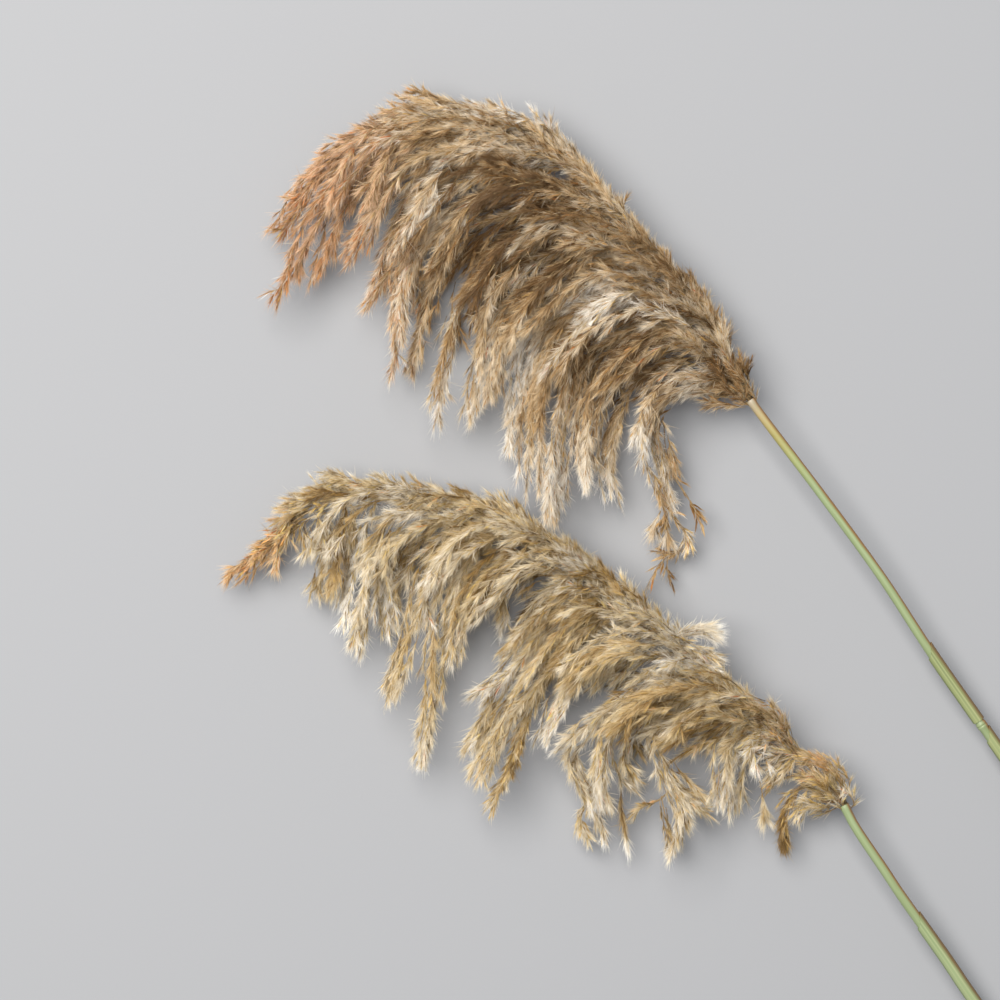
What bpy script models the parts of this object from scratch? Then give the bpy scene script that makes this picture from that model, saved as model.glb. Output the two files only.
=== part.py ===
"""Two cut, dried reeds with nodding plumes, lying side by side on a flat surface.

X runs to the right, Y away from a viewer who looks down on the bunch, and Z up from the surface.
The plumes bow to the left and hang towards -Y. Every length here is in millimetres until the meshes
are made, and the origin lies on the surface below the middle of the bunch.
"""

import math
from typing import NamedTuple

import bmesh
import bpy
from mathutils import Vector

MM = 0.001
TOUCH_GAP = 0.35

CULM_SIDES = 12
CULM_STEP = 60.0
CULM_WALL = 0.9
CULM_BORE_DEPTH = 22.0
NODE_SWELL = 0.5
NODE_HALF_LENGTH = 2.5
COLLAR_LENGTH = 4.0
COLLAR_SWELL = 0.7

SHEATH_WALL = 0.6
SHEATH_SLANT = 4.5
SHEATH_STEP = 60.0

RACHIS_SIDES = 6
RACHIS_STEP = 40.0
RACHIS_GAP = 0.7

LOCK_SIDES = 5
LOCK_FLATNESS = 0.85
LOCK_FEWEST_RINGS = 4
LOCK_RING_STEP = 27.0
LOCK_LAST_RING = 0.93
LOCK_LOWEST = 4.0
LOCK_RISEN_BY = 0.4
LOCK_TIP_FALL = 0.35
LOCK_HEIGHT_SHARES = (0.0, 0.2, 0.4, 0.6, 0.8, 1.0)
# How full a lock is along its length, as a share of its half width
LOCK_FULLNESS = ((0.0, 0.5), (0.2, 0.9), (0.45, 1.0), (0.7, 0.9), (0.93, 0.5))

FACETS_KEPT = 0.82
SURFACE_SLAB_REACH = 1000.0
SURFACE_SLAB_DEPTH = 60.0
SMOOTH_ANGLE = math.radians(40)
SHORTEST_EDGE = 1e-5

UP = Vector((0.0, 0.0, 1.0))


class Lock(NamedTuple):
    """One branch of a plume with its down, as a tapering lock.

    root is the share of the rachis at which it leaves, and places are the x and y that it then runs
    through, its tip last. lift is how far it runs above or below the rachis.
    """

    root: float
    places: tuple
    lift: float
    half_width: float


REED_1_CULM = ((24, 150, 31), (35, 135, 30), (80, 76, 27), (118, 24, 24), (153, -29, 20.5),
               (199, -94, 16), (344, -300, 3.9))
REED_1_CULM_RADII = (3.1, 3.9)
REED_1_NODES = (282.0, 428.0)
REED_1_UPPER_SHEATH = (222.0, 278.0)
REED_1_LOWER_SHEATH = (290.0, 424.0)
REED_1_RACHIS = ((24, 150, 31), (20, 155.5, 31.2), (-11, 209, 33), (-53, 262, 35), (-99, 311, 35),
                 (-148, 340, 34), (-200, 347, 33), (-246, 332, 30), (-277, 307, 26), (-300, 275, 21))
REED_1_RACHIS_RADII = (2.6, 0.9)

REED_2_CULM = ((90, -134, 27), (99, -151, 26.5), (118, -179, 25), (132, -200, 23.5),
               (162, -242, 20), (181, -270, 17.5), (252, -371, 4.1))
REED_2_CULM_RADII = (3.3, 4.1)
REED_2_NODES = (215.0,)
REED_2_SHEATH = (96.0, 211.0)
REED_2_RACHIS = ((90, -134, 27), (86, -127, 27.3), (69, -110, 29), (45, -85, 32), (17, -60, 34),
                 (-11, -36, 35), (-46, -8, 35), (-88, 27, 35), (-130, 55, 34), (-176, 73, 33),
                 (-221, 81, 31), (-263, 80, 28), (-291, 69, 25), (-316, 48, 21), (-333, 30, 17))
REED_2_RACHIS_RADII = (2.7, 0.8)
REED_2_WHORL_END = 0.085
REED_2_PLUME_START = 0.087

REED_1_HANGING_LOCKS = (
    Lock(0.02, ((-11, 158), (-39, 144), (-49, 113), (-36, 80), (-21, 55), (-31, 36), (-51, 11)), 0, 9),
    Lock(0.05, ((-18, 169), (-45, 153), (-53, 129), (-57, 105)), 18, 11),
    Lock(0.08, ((-46, 174), (-67, 146), (-77, 111), (-69, 75)), -12, 10),
    Lock(0.11, ((-53, 188), (-81, 160), (-91, 122), (-91, 86)), 10, 10),
    Lock(0.15, ((-74, 188), (-97, 153), (-104, 115), (-111, 62)), -4, 10),
    Lock(0.18, ((-81, 206), (-109, 171), (-118, 122), (-119, 64)), 20, 10),
    Lock(0.22, ((-95, 213), (-123, 178), (-132, 129), (-135, 78)), 2, 11),
    Lock(0.26, ((-109, 220), (-134, 192), (-141, 157), (-141, 111)), -16, 10),
    Lock(0.3, ((-123, 227), (-148, 199), (-157, 146)), 14, 10),
    Lock(0.34, ((-137, 241), (-162, 206), (-169, 171), (-175, 132)), -6, 11),
    Lock(0.39, ((-151, 255), (-178, 223), (-189, 188), (-200, 129)), 18, 9),
    Lock(0.43, ((-165, 265), (-193, 237), (-204, 202), (-214, 165)), -14, 9),
    Lock(0.49, ((-186, 276), (-213, 248), (-221, 209), (-227, 164)), 8, 10),
    Lock(0.55, ((-204, 286), (-227, 251), (-248, 213)), -6, 9),
    Lock(0.63, ((-221, 304), (-239, 279), (-260, 244)), 14, 9),
    Lock(0.7, ((-242, 311), (-262, 286), (-284, 228)), -8, 9),
    Lock(0.78, ((-263, 304), (-286, 272), (-307, 214)), 8, 10),
    Lock(0.88, ((-287, 297), (-311, 264)), -2, 8),
)
REED_1_CREST_LOCKS = (
    Lock(0.005, ((21, 171), (23, 191)), 0, 5),
    Lock(0.02, ((12, 192), (6, 217)), 8, 8),
    Lock(0.06, ((-4, 213), (-20, 244)), -6, 8),
    Lock(0.12, ((-22, 232), (-46, 274)), 8, 7),
    Lock(0.18, ((-43, 251), (-74, 300)), -6, 8),
    Lock(0.26, ((-71, 284), (-94, 321)), 10, 8),
    Lock(0.33, ((-95, 312), (-121, 353)), -4, 9),
    Lock(0.41, ((-120, 337), (-160, 360)), 10, 9),
    Lock(0.49, ((-151, 347), (-193, 365)), -6, 10),
    Lock(0.57, ((-186, 354), (-220, 367)), 10, 9),
    Lock(0.67, ((-221, 344), (-256, 346)), -4, 9),
    Lock(0.77, ((-255, 332), (-286, 319)), 8, 8),
    Lock(0.86, ((-279, 309), (-304, 286)), -4, 8),
)
REED_1_FRONT_LOCKS = (
    Lock(0.05, ((-18, 195), (-53, 185), (-83, 150)), 34, 12),
    Lock(0.12, ((-46, 216), (-81, 206), (-118, 164)), 36, 13),
    Lock(0.2, ((-73, 244), (-109, 230), (-148, 185)), 37, 13),
    Lock(0.28, ((-101, 272), (-137, 258), (-174, 206)), 38, 13),
    Lock(0.36, ((-130, 298), (-165, 284), (-200, 227)), 38, 13),
    Lock(0.44, ((-158, 318), (-193, 300), (-221, 246)), 36, 13),
    Lock(0.53, ((-190, 330), (-220, 318), (-245, 272)), 34, 12),
    Lock(0.63, ((-221, 335), (-246, 321), (-270, 279)), 30, 11),
)
REED_1_BACK_LOCKS = (
    Lock(0.08, ((-32, 199), (-71, 174), (-81, 136)), -30, 13),
    Lock(0.2, ((-81, 227), (-120, 199), (-137, 157)), -30, 13),
    Lock(0.33, ((-130, 269), (-169, 241), (-186, 185)), -30, 13),
    Lock(0.47, ((-183, 311), (-218, 283), (-232, 227)), -30, 13),
)
REED_1_TWIGS = (
    Lock(0.03, ((-18, 155), (-48, 129), (-39, 99), (-22, 88), (-6, 63)), 2, 4),
)
REED_2_HANGING_LOCKS = (
    Lock(0.11, ((36, -90), (25, -97), (34, -111)), 6, 10),
    Lock(0.13, ((24, -88), (13, -113), (15, -139)), -8, 9),
    Lock(0.15, ((6, -85), (3, -113), (6, -141)), 14, 9),
    Lock(0.17, ((-11, -85), (-36, -97), (-24, -120), (-1, -139)), -2, 9),
    Lock(0.19, ((-18, -71), (-50, -85), (-34, -116), (-22, -132), (-32, -148), (-30, -172)), 8, 8),
    Lock(0.22, ((-25, -60), (-57, -74), (-66, -102), (-52, -125)), -12, 12),
    Lock(0.25, ((-43, -53), (-76, -78), (-81, -109), (-77, -139)), 12, 10),
    Lock(0.27, ((-53, -60), (-88, -80), (-102, -100), (-88, -123), (-92, -143), (-77, -161)), -4, 8),
    Lock(0.3, ((-64, -53), (-88, -71), (-114, -95)), 18, 7),
    Lock(0.33, ((-53, -25), (-78, -46), (-99, -58)), -14, 11),
    Lock(0.36, ((-74, -22), (-106, -53), (-123, -93)), 6, 12),
    Lock(0.4, ((-88, -1), (-123, -36), (-146, -71), (-169, -118)), 16, 12),
    Lock(0.43, ((-109, -8), (-134, -36), (-155, -67), (-174, -101)), -6, 11),
    Lock(0.45, ((-118, -6), (-143, -36), (-172, -62)), 10, 8),
    Lock(0.47, ((-120, 6), (-151, -33)), -12, 8),
    Lock(0.51, ((-137, 31), (-146, 6), (-153, -18)), -14, 10),
    Lock(0.55, ((-158, 38), (-178, 3), (-183, -39)), 16, 11),
    Lock(0.6, ((-183, 34), (-196, -11), (-197, -60), (-207, -108)), 0, 9),
    Lock(0.64, ((-200, 34), (-211, -4), (-230, -64)), 10, 10),
    Lock(0.69, ((-221, 45), (-231, 17), (-225, -20)), -12, 10),
    Lock(0.73, ((-232, 52), (-242, 17), (-252, -31)), 10, 9),
    Lock(0.78, ((-245, 59), (-253, 31), (-263, -11)), -6, 9),
    Lock(0.82, ((-260, 62), (-269, 11)), 10, 10),
    Lock(0.86, ((-276, 55), (-283, 8)), -8, 8),
    Lock(0.89, ((-287, 52), (-296, 27)), 8, 8),
    Lock(0.91, ((-304, 46), (-316, 24)), -4, 9),
    Lock(0.95, ((-323, 38), (-346, 25)), 2, 9),
)
REED_2_CREST_LOCKS = (
    Lock(0.105, ((45, -80), (36, -60)), 2, 6),
    Lock(0.14, ((32, -64), (12, -46)), 10, 7),
    Lock(0.19, ((4, -41), (-18, -27)), -4, 7),
    Lock(0.25, ((-11, -20), (10, -29)), 12, 6),
    Lock(0.26, ((-25, -18), (-48, 7)), 2, 7),
    Lock(0.33, ((-57, 13), (-81, 38)), 10, 7),
    Lock(0.4, ((-87, 38), (-108, 56)), -4, 7),
    Lock(0.46, ((-112, 52), (-140, 74)), 8, 7),
    Lock(0.52, ((-134, 69), (-151, 89)), -2, 5),
    Lock(0.55, ((-151, 74), (-185, 88)), 8, 8),
    Lock(0.63, ((-193, 85), (-228, 97)), -4, 9),
    Lock(0.72, ((-239, 92), (-279, 102)), 8, 9),
    Lock(0.8, ((-270, 88), (-302, 85)), -4, 8),
    Lock(0.87, ((-297, 76), (-318, 66)), 6, 7),
)
REED_2_FRONT_LOCKS = (
    Lock(0.12, ((24, -69), (-8, -69), (-39, -92)), 32, 12),
    Lock(0.2, ((-8, -50), (-43, -57), (-76, -81)), 34, 12),
    Lock(0.28, ((-43, -24), (-78, -25), (-109, -50)), 34, 12),
    Lock(0.36, ((-78, 10), (-109, 4), (-141, -25)), 34, 12),
    Lock(0.44, ((-113, 36), (-144, 27), (-174, -4)), 34, 12),
    Lock(0.53, ((-151, 59), (-179, 48), (-206, 13)), 32, 12),
    Lock(0.62, ((-193, 69), (-220, 57), (-242, 24)), 30, 12),
    Lock(0.71, ((-239, 78), (-260, 66), (-279, 36)), 26, 11),
)
REED_2_BACK_LOCKS = (
    Lock(0.18, ((-18, -60), (-50, -74), (-53, -109)), -30, 13),
    Lock(0.33, ((-74, -4), (-109, -32), (-130, -67)), -30, 13),
    Lock(0.47, ((-130, 38), (-162, 17), (-179, -18)), -30, 13),
    Lock(0.6, ((-186, 59), (-218, 38), (-232, 3)), -28, 13),
)
REED_2_TWIGS = (
    Lock(0.41, ((-109, -32), (-137, -81), (-144, -108), (-160, -141)), 4, 6),
    Lock(0.2, ((-11, -88), (-18, -123), (-43, -130), (-66, -144)), 2, 4),
    Lock(0.26, ((-53, -88), (-63, -120), (-64, -144), (-59, -171)), 2, 4),
    Lock(0.12, ((32, -95), (29, -123), (36, -151)), -4, 4),
)
REED_2_WHORL_LOCKS = (
    Lock(0.035, ((63, -120), (56, -141), (47, -153), (49, -172)), -2, 7),
    Lock(0.045, ((55, -115), (32, -123)), 8, 5),
    Lock(0.025, ((85, -112), (73, -105), (52, -106)), 8, 9),
    Lock(0.028, ((77, -129), (66, -136)), 0, 7),
    Lock(0.03, ((67, -116), (57, -132)), 12, 9),
)


class Route:
    """A smooth curve through a list of places, measured along its own length."""

    SAMPLES_PER_SPAN = 16

    def __init__(self, places):
        knots = [Vector(place) for place in places]
        first = 2 * knots[0] - knots[1]
        last = 2 * knots[-1] - knots[-2]
        knots = [first, *knots, last]
        self.points = []
        for i in range(1, len(knots) - 2):
            for step in range(self.SAMPLES_PER_SPAN):
                share = step / self.SAMPLES_PER_SPAN
                self.points.append(self.between(knots[i - 1:i + 3], share))
        self.points.append(knots[-2].copy())
        self.lengths = [0.0]
        for before, after in zip(self.points, self.points[1:]):
            self.lengths.append(self.lengths[-1] + (after - before).length)

    @staticmethod
    def between(knots, share):
        """The place between the middle two of four knots, on a Catmull-Rom curve."""
        a, b, c, d = knots
        bend = (2 * a - 5 * b + 4 * c - d) * share ** 2
        twist = (3 * b - a - 3 * c + d) * share ** 3
        return 0.5 * (2 * b + (c - a) * share + bend + twist)

    @property
    def length(self):
        return self.lengths[-1]

    def at(self, distance):
        """The place this far along; past either end it goes straight on."""
        span = 0
        while span < len(self.lengths) - 2 and self.lengths[span + 1] < distance:
            span += 1
        start, end = self.lengths[span], self.lengths[span + 1]
        return self.points[span].lerp(self.points[span + 1], (distance - start) / (end - start))

    def direction(self, distance):
        reach = self.length * 0.01
        ahead = self.at(min(distance + reach, self.length))
        behind = self.at(max(distance - reach, 0.0))
        return (ahead - behind).normalized()


def across(direction):
    """Two directions square to a route's own: one level with the surface and one upward."""
    side = direction.cross(UP).normalized()
    return side, side.cross(direction).normalized()


def ring_around(route, distance, radius, sides, slant=0.0):
    """A ring of points around a route; slant slides one side of it along the route."""
    ring = []
    for i in range(sides):
        angle = math.tau * i / sides
        place = distance + slant * math.cos(angle)
        side, upward = across(route.direction(place))
        ring.append(route.at(place) + radius * (math.cos(angle) * side + math.sin(angle) * upward))
    return ring


def evenly(start, end, step):
    """Distances from start to end, spaced evenly and about a step apart."""
    count = max(1, round((end - start) / step))
    return [start + (end - start) * i / count for i in range(count + 1)]


def skin(name, rings, tip=None, closed=False):
    """A closed body through rings of points; it ends in flat caps, in a tip or in its first ring."""
    mesh = bmesh.new()
    loops = [[mesh.verts.new(point * MM) for point in ring] for ring in rings]
    pairs = list(zip(loops, loops[1:]))
    if closed:
        pairs.append((loops[-1], loops[0]))
    for before, after in pairs:
        for i in range(len(before)):
            j = (i + 1) % len(before)
            mesh.faces.new((before[i], before[j], after[j], after[i]))
    if not closed:
        mesh.faces.new(list(reversed(loops[0])))
        if tip is None:
            mesh.faces.new(loops[-1])
        else:
            point = mesh.verts.new(tip * MM)
            for i in range(len(loops[-1])):
                mesh.faces.new((loops[-1][i], loops[-1][(i + 1) % len(loops[-1])], point))
    bmesh.ops.recalc_face_normals(mesh, faces=mesh.faces)
    data = bpy.data.meshes.new(name)
    mesh.to_mesh(data)
    mesh.free()
    piece = bpy.data.objects.new(name, data)
    bpy.context.scene.collection.objects.link(piece)
    return piece


def finish(piece, material):
    """Give a piece its material and its smooth shading."""
    piece.data.materials.clear()
    piece.data.materials.append(material)
    piece.data.shade_smooth()
    piece.data.set_sharp_from_angle(angle=SMOOTH_ANGLE)
    return piece


def plant_material(name, red, green, blue, roughness):
    material = bpy.data.materials.new(name)
    material.use_nodes = True
    surface = material.node_tree.nodes["Principled BSDF"]
    surface.inputs["Base Color"].default_value = (red, green, blue, 1.0)
    surface.inputs["Roughness"].default_value = roughness
    surface.inputs["Metallic"].default_value = 0.0
    return material


def culm(name, route, radii, nodes, material):
    """A hollow jointed stem, with a collar below the plume and an open cut end."""
    def radius(distance):
        return radii[0] + (radii[1] - radii[0]) * distance / route.length

    collar = ((0.0, 0.0), (0.25 * COLLAR_LENGTH, COLLAR_SWELL), (0.75 * COLLAR_LENGTH, COLLAR_SWELL),
              (COLLAR_LENGTH, 0.0))
    stations = dict(collar)
    for node in nodes:
        for share, swell in ((-1.0, 0.0), (-0.4, 1.0), (0.4, 1.0), (1.0, 0.0)):
            stations[node + share * NODE_HALF_LENGTH] = swell * NODE_SWELL
    stations[route.length] = 0.0
    stops = sorted(stations)
    for before, after in zip(stops, stops[1:]):
        for distance in evenly(before, after, CULM_STEP):
            stations.setdefault(distance, 0.0)
    rings = [ring_around(route, distance, radius(distance) + stations[distance], CULM_SIDES)
             for distance in sorted(stations)]
    bore = radii[1] - CULM_WALL
    rings.append(ring_around(route, route.length, bore, CULM_SIDES))
    rings.append(ring_around(route, route.length - CULM_BORE_DEPTH, bore, CULM_SIDES))
    return finish(skin(name, rings), material)


def sheath(name, route, radii, span, material):
    """A leaf sheath: a thin tube around the culm, with an oblique lip at its upper end."""
    def inner(distance):
        return radii[0] + (radii[1] - radii[0]) * distance / route.length + TOUCH_GAP

    distances = evenly(span[0], span[1], SHEATH_STEP)
    slants = [SHEATH_SLANT] + [0.0] * (len(distances) - 1)
    rings = [ring_around(route, distance, inner(distance) + SHEATH_WALL, CULM_SIDES, slant)
             for distance, slant in zip(distances, slants)]
    rings += [ring_around(route, distance, inner(distance), CULM_SIDES, slant)
              for distance, slant in reversed(list(zip(distances, slants)))]
    return finish(skin(name, rings, closed=True), material)


def rachis(name, route, radii, start, end):
    """The axis of a plume between two shares of its length."""
    def radius(distance):
        return radii[0] + (radii[1] - radii[0]) * distance / route.length

    first = start * route.length + RACHIS_GAP
    rings = [ring_around(route, distance, radius(distance), RACHIS_SIDES)
             for distance in evenly(first, end * route.length, RACHIS_STEP)]
    return skin(name, rings)


def lock_route(axis, lock):
    """A lock's own route: from the rachis over to its own height, and down a little to its tip."""
    root = axis.at(lock.root * axis.length)
    flat = Route([(root.x, root.y, 0.0), *((x, y, 0.0) for x, y in lock.places)])
    places = []
    for share in LOCK_HEIGHT_SHARES:
        place = flat.at(share * flat.length)
        rise = min(share / LOCK_RISEN_BY, 1.0) - LOCK_TIP_FALL * max(share - LOCK_RISEN_BY, 0.0)
        place.z = max(root.z + lock.lift * rise, LOCK_LOWEST)
        places.append(place)
    return Route(places)


def lock_fullness(share):
    """How full a lock is at a share of its length."""
    for (before, full_before), (after, full_after) in zip(LOCK_FULLNESS, LOCK_FULLNESS[1:]):
        if share <= after:
            return full_before + (full_after - full_before) * (share - before) / (after - before)
    return LOCK_FULLNESS[-1][1]


def lock_body(axis, lock):
    """A lock as a closed body that swells from its root and runs out to a point."""
    route = lock_route(axis, lock)
    count = max(LOCK_FEWEST_RINGS, round(route.length / LOCK_RING_STEP))
    rings = []
    for i in range(count):
        share = LOCK_LAST_RING * i / (count - 1)
        centre = route.at(share * route.length)
        side, upward = across(route.direction(share * route.length))
        wide = lock.half_width * lock_fullness(share)
        ring = []
        for corner in range(LOCK_SIDES):
            angle = math.tau * corner / LOCK_SIDES
            around = side * math.cos(angle) + upward * LOCK_FLATNESS * math.sin(angle)
            ring.append(centre + around * wide)
        rings.append(ring)
    return skin("lock", rings, tip=route.at(route.length))


def surface_slab():
    """What lies below the resting surface, as a block to cut with."""
    reach = SURFACE_SLAB_REACH
    level = [(-reach, -reach), (reach, -reach), (reach, reach), (-reach, reach)]
    low = [Vector((x, y, -SURFACE_SLAB_DEPTH)) for x, y in level]
    high = [Vector((x, y, 0.0)) for x, y in level]
    return skin("below_the_surface", [low, high])


def only_the_outer_shell(piece):
    """Keep the largest shell alone, without the pockets shut in between locks."""
    mesh = bmesh.new()
    mesh.from_mesh(piece.data)
    bmesh.ops.dissolve_degenerate(mesh, dist=SHORTEST_EDGE, edges=mesh.edges)
    bmesh.ops.delete(mesh, geom=[edge for edge in mesh.edges if edge.is_wire], context="EDGES")
    waiting = set(mesh.verts)
    shells = []
    while waiting:
        shell = {waiting.pop()}
        front = list(shell)
        while front:
            for edge in front.pop().link_edges:
                for vert in edge.verts:
                    if vert not in shell:
                        shell.add(vert)
                        front.append(vert)
        waiting -= shell
        shells.append(shell)
    shells.sort(key=len)
    for shell in shells[:-1]:
        bmesh.ops.delete(mesh, geom=list(shell), context="VERTS")
    mesh.to_mesh(piece.data)
    mesh.free()


def plume(name, route, radii, start, end, locks, slab, material):
    """The branches of a plume grown together with their stretch of rachis, flat where they lie."""
    stretch = rachis(name, route, radii, start, end)
    bodies = bpy.data.collections.new("locks")
    for lock in locks:
        body = lock_body(route, lock)
        bpy.context.scene.collection.objects.unlink(body)
        bodies.objects.link(body)
    join = stretch.modifiers.new("join the locks", "BOOLEAN")
    join.operation = "UNION"
    join.operand_type = "COLLECTION"
    join.collection = bodies
    rest = stretch.modifiers.new("rest on the surface", "BOOLEAN")
    rest.operation = "DIFFERENCE"
    rest.object = slab
    thin = stretch.modifiers.new("drop the smallest facets", "DECIMATE")
    thin.ratio = FACETS_KEPT
    shape = bpy.data.meshes.new_from_object(stretch.evaluated_get(bpy.context.evaluated_depsgraph_get()))
    stretch.modifiers.clear()
    stretch.data = shape
    for body in list(bodies.objects):
        bpy.data.objects.remove(body)
    bpy.data.collections.remove(bodies)
    only_the_outer_shell(stretch)
    return finish(stretch, material)


def build():
    for leftover in list(bpy.data.objects):
        bpy.data.objects.remove(leftover)
    green_culm = plant_material("dry_green_culm", 0.40, 0.43, 0.26, 0.5)
    olive_sheath = plant_material("olive_leaf_sheath", 0.34, 0.34, 0.15, 0.55)
    tan_down = plant_material("tan_down", 0.42, 0.29, 0.16, 0.9)
    straw_down = plant_material("straw_down", 0.45, 0.33, 0.17, 0.9)
    slab = surface_slab()

    stem = Route(REED_1_CULM)
    axis = Route(REED_1_RACHIS)
    culm("reed_1_culm", stem, REED_1_CULM_RADII, REED_1_NODES, green_culm)
    sheath("reed_1_upper_sheath", stem, REED_1_CULM_RADII, REED_1_UPPER_SHEATH, olive_sheath)
    sheath("reed_1_lower_sheath", stem, REED_1_CULM_RADII, REED_1_LOWER_SHEATH, olive_sheath)
    locks = (REED_1_HANGING_LOCKS + REED_1_CREST_LOCKS + REED_1_FRONT_LOCKS + REED_1_BACK_LOCKS
             + REED_1_TWIGS)
    plume("reed_1_plume", axis, REED_1_RACHIS_RADII, 0.0, 1.0, locks, slab, tan_down)

    stem = Route(REED_2_CULM)
    axis = Route(REED_2_RACHIS)
    culm("reed_2_culm", stem, REED_2_CULM_RADII, REED_2_NODES, green_culm)
    sheath("reed_2_sheath", stem, REED_2_CULM_RADII, REED_2_SHEATH, olive_sheath)
    plume("reed_2_lowest_whorl", axis, REED_2_RACHIS_RADII, 0.0, REED_2_WHORL_END, REED_2_WHORL_LOCKS,
          slab, straw_down)
    locks = (REED_2_HANGING_LOCKS + REED_2_CREST_LOCKS + REED_2_FRONT_LOCKS + REED_2_BACK_LOCKS
             + REED_2_TWIGS)
    plume("reed_2_plume", axis, REED_2_RACHIS_RADII, REED_2_PLUME_START, 1.0, locks, slab, straw_down)
    bpy.data.objects.remove(slab)


build()
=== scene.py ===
"""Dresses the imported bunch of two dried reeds: husks, silky hairs, twigs, stems and leaf sheaths.

Every place is in millimetres until a mesh is made. X runs to the right, Y away from a viewer who
looks down on the bunch, and Z up from the surface that it lies on. The plumes hang towards -Y.
"""

import math
from typing import NamedTuple

import bmesh
import bpy
import numpy as np
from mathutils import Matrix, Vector


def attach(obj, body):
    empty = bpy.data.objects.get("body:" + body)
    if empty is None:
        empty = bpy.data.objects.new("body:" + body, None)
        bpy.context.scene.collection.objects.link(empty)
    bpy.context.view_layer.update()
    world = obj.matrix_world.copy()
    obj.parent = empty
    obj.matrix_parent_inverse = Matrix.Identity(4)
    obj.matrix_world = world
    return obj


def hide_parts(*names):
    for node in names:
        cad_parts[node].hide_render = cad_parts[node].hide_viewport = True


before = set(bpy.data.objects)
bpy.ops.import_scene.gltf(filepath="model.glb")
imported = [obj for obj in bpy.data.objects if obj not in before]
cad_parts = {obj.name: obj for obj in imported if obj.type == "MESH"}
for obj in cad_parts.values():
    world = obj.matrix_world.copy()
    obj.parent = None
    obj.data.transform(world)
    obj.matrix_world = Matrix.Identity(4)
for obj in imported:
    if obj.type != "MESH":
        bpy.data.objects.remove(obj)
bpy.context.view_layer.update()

MM = 0.001

# The straight-down view, with its lens far enough away to see the reeds nearly side on
VIEW_CENTRE = (-151.2, 79.8)
VIEW_FIELD = 700.0
VIEW_HEIGHT = 2500.0
VIEW_FOCUS_HEIGHT = 32.0
SENSOR = 36.0

# The stem's skin is mapped as 22 mm round; its orange-brown line, partly sunned and partly painted
# shade on the stem's shaded side, lies this share of the way round
SKIN_AROUND = 22.0
SUNNED_AND_SHADED_LINE = 0.68
CULM_TINTED_TO = 0.6


class Lock(NamedTuple):
    """One branch of a plume with its down.

    root is the share of the rachis at which it leaves, and places are the x and y that it then runs
    through, its tip last. lift is how far it runs above or below the rachis.
    """

    root: float
    places: tuple
    lift: float
    half_width: float


# The lines of the reeds, as the solids have them but for the loose ends further down
LOCK_FLATNESS = 0.85
LOCK_LOWEST = 4.0
LOCK_RISEN_BY = 0.4
LOCK_TIP_FALL = 0.35
LOCK_HEIGHT_SHARES = (0.0, 0.2, 0.4, 0.6, 0.8, 1.0)
MOST_PULL = 0.45

REED_1_CULM = ((24, 150, 31), (35, 135, 30), (80, 76, 27), (118, 24, 24), (153, -29, 20.5),
               (199, -94, 16), (344, -300, 3.9))
REED_1_CULM_RADII = (3.1, 3.9)
REED_1_NODES = (282.0, 428.0)
REED_1_SHEATHS = {"upper": (218.0, 278.0), "lower": (290.0, 424.0)}
REED_1_RACHIS = ((24, 150, 31), (20, 155.5, 31.2), (-11, 209, 33), (-53, 262, 35), (-99, 311, 35),
                 (-148, 340, 34), (-200, 347, 33), (-246, 332, 30), (-277, 307, 26), (-300, 275, 21))
REED_1_RACHIS_RADII = (2.6, 0.9)

REED_2_CULM = ((90, -134, 27), (99, -151, 26.5), (118, -179, 25), (132, -200, 23.5),
               (162, -242, 20), (181, -270, 17.5), (252, -371, 4.1))
REED_2_CULM_RADII = (3.3, 4.1)
REED_2_NODES = (215.0,)
REED_2_SHEATHS = {"only": (98.0, 211.0)}
REED_2_RACHIS = ((90, -134, 27), (86, -127, 27.3), (69, -110, 29), (45, -85, 32), (17, -60, 34),
                 (-11, -36, 35), (-46, -8, 35), (-88, 27, 35), (-130, 55, 34), (-176, 73, 33),
                 (-221, 81, 31), (-263, 80, 28), (-291, 69, 25), (-316, 48, 21), (-333, 30, 17))
REED_2_RACHIS_RADII = (2.7, 0.8)
REED_2_WHORL_END = 0.085

REED_1_HANGING_LOCKS = (
    Lock(0.02, ((-11, 158), (-39, 144), (-48, 116)), 0, 9),
    Lock(0.05, ((-18, 169), (-45, 153), (-53, 129), (-57, 105)), 18, 11),
    Lock(0.08, ((-46, 174), (-67, 146), (-77, 111), (-69, 75)), -12, 10),
    Lock(0.11, ((-53, 188), (-81, 160), (-91, 122), (-91, 86)), 10, 10),
    Lock(0.15, ((-74, 188), (-97, 153), (-104, 115), (-111, 62)), -4, 10),
    Lock(0.18, ((-81, 206), (-109, 171), (-118, 122), (-119, 64)), 20, 10),
    Lock(0.22, ((-95, 213), (-123, 178), (-132, 129), (-135, 78)), 2, 11),
    Lock(0.26, ((-109, 220), (-134, 192), (-141, 157), (-141, 111)), -16, 10),
    Lock(0.3, ((-123, 227), (-148, 199), (-157, 146)), 14, 10),
    Lock(0.34, ((-137, 241), (-162, 206), (-169, 171), (-175, 132)), -6, 11),
    Lock(0.39, ((-151, 255), (-178, 223), (-189, 188), (-200, 129)), 18, 9),
    Lock(0.43, ((-165, 265), (-193, 237), (-204, 202), (-214, 165)), -14, 9),
    Lock(0.49, ((-186, 276), (-213, 248), (-221, 209), (-227, 164)), 8, 10),
    Lock(0.55, ((-204, 286), (-227, 251), (-248, 213)), -6, 9),
    Lock(0.63, ((-221, 304), (-239, 279), (-260, 244)), 14, 9),
    Lock(0.7, ((-242, 311), (-262, 286), (-284, 228)), -8, 9),
    Lock(0.78, ((-263, 304), (-286, 272), (-307, 214)), 8, 10),
    Lock(0.88, ((-287, 297), (-311, 264)), -2, 8),
)
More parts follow.
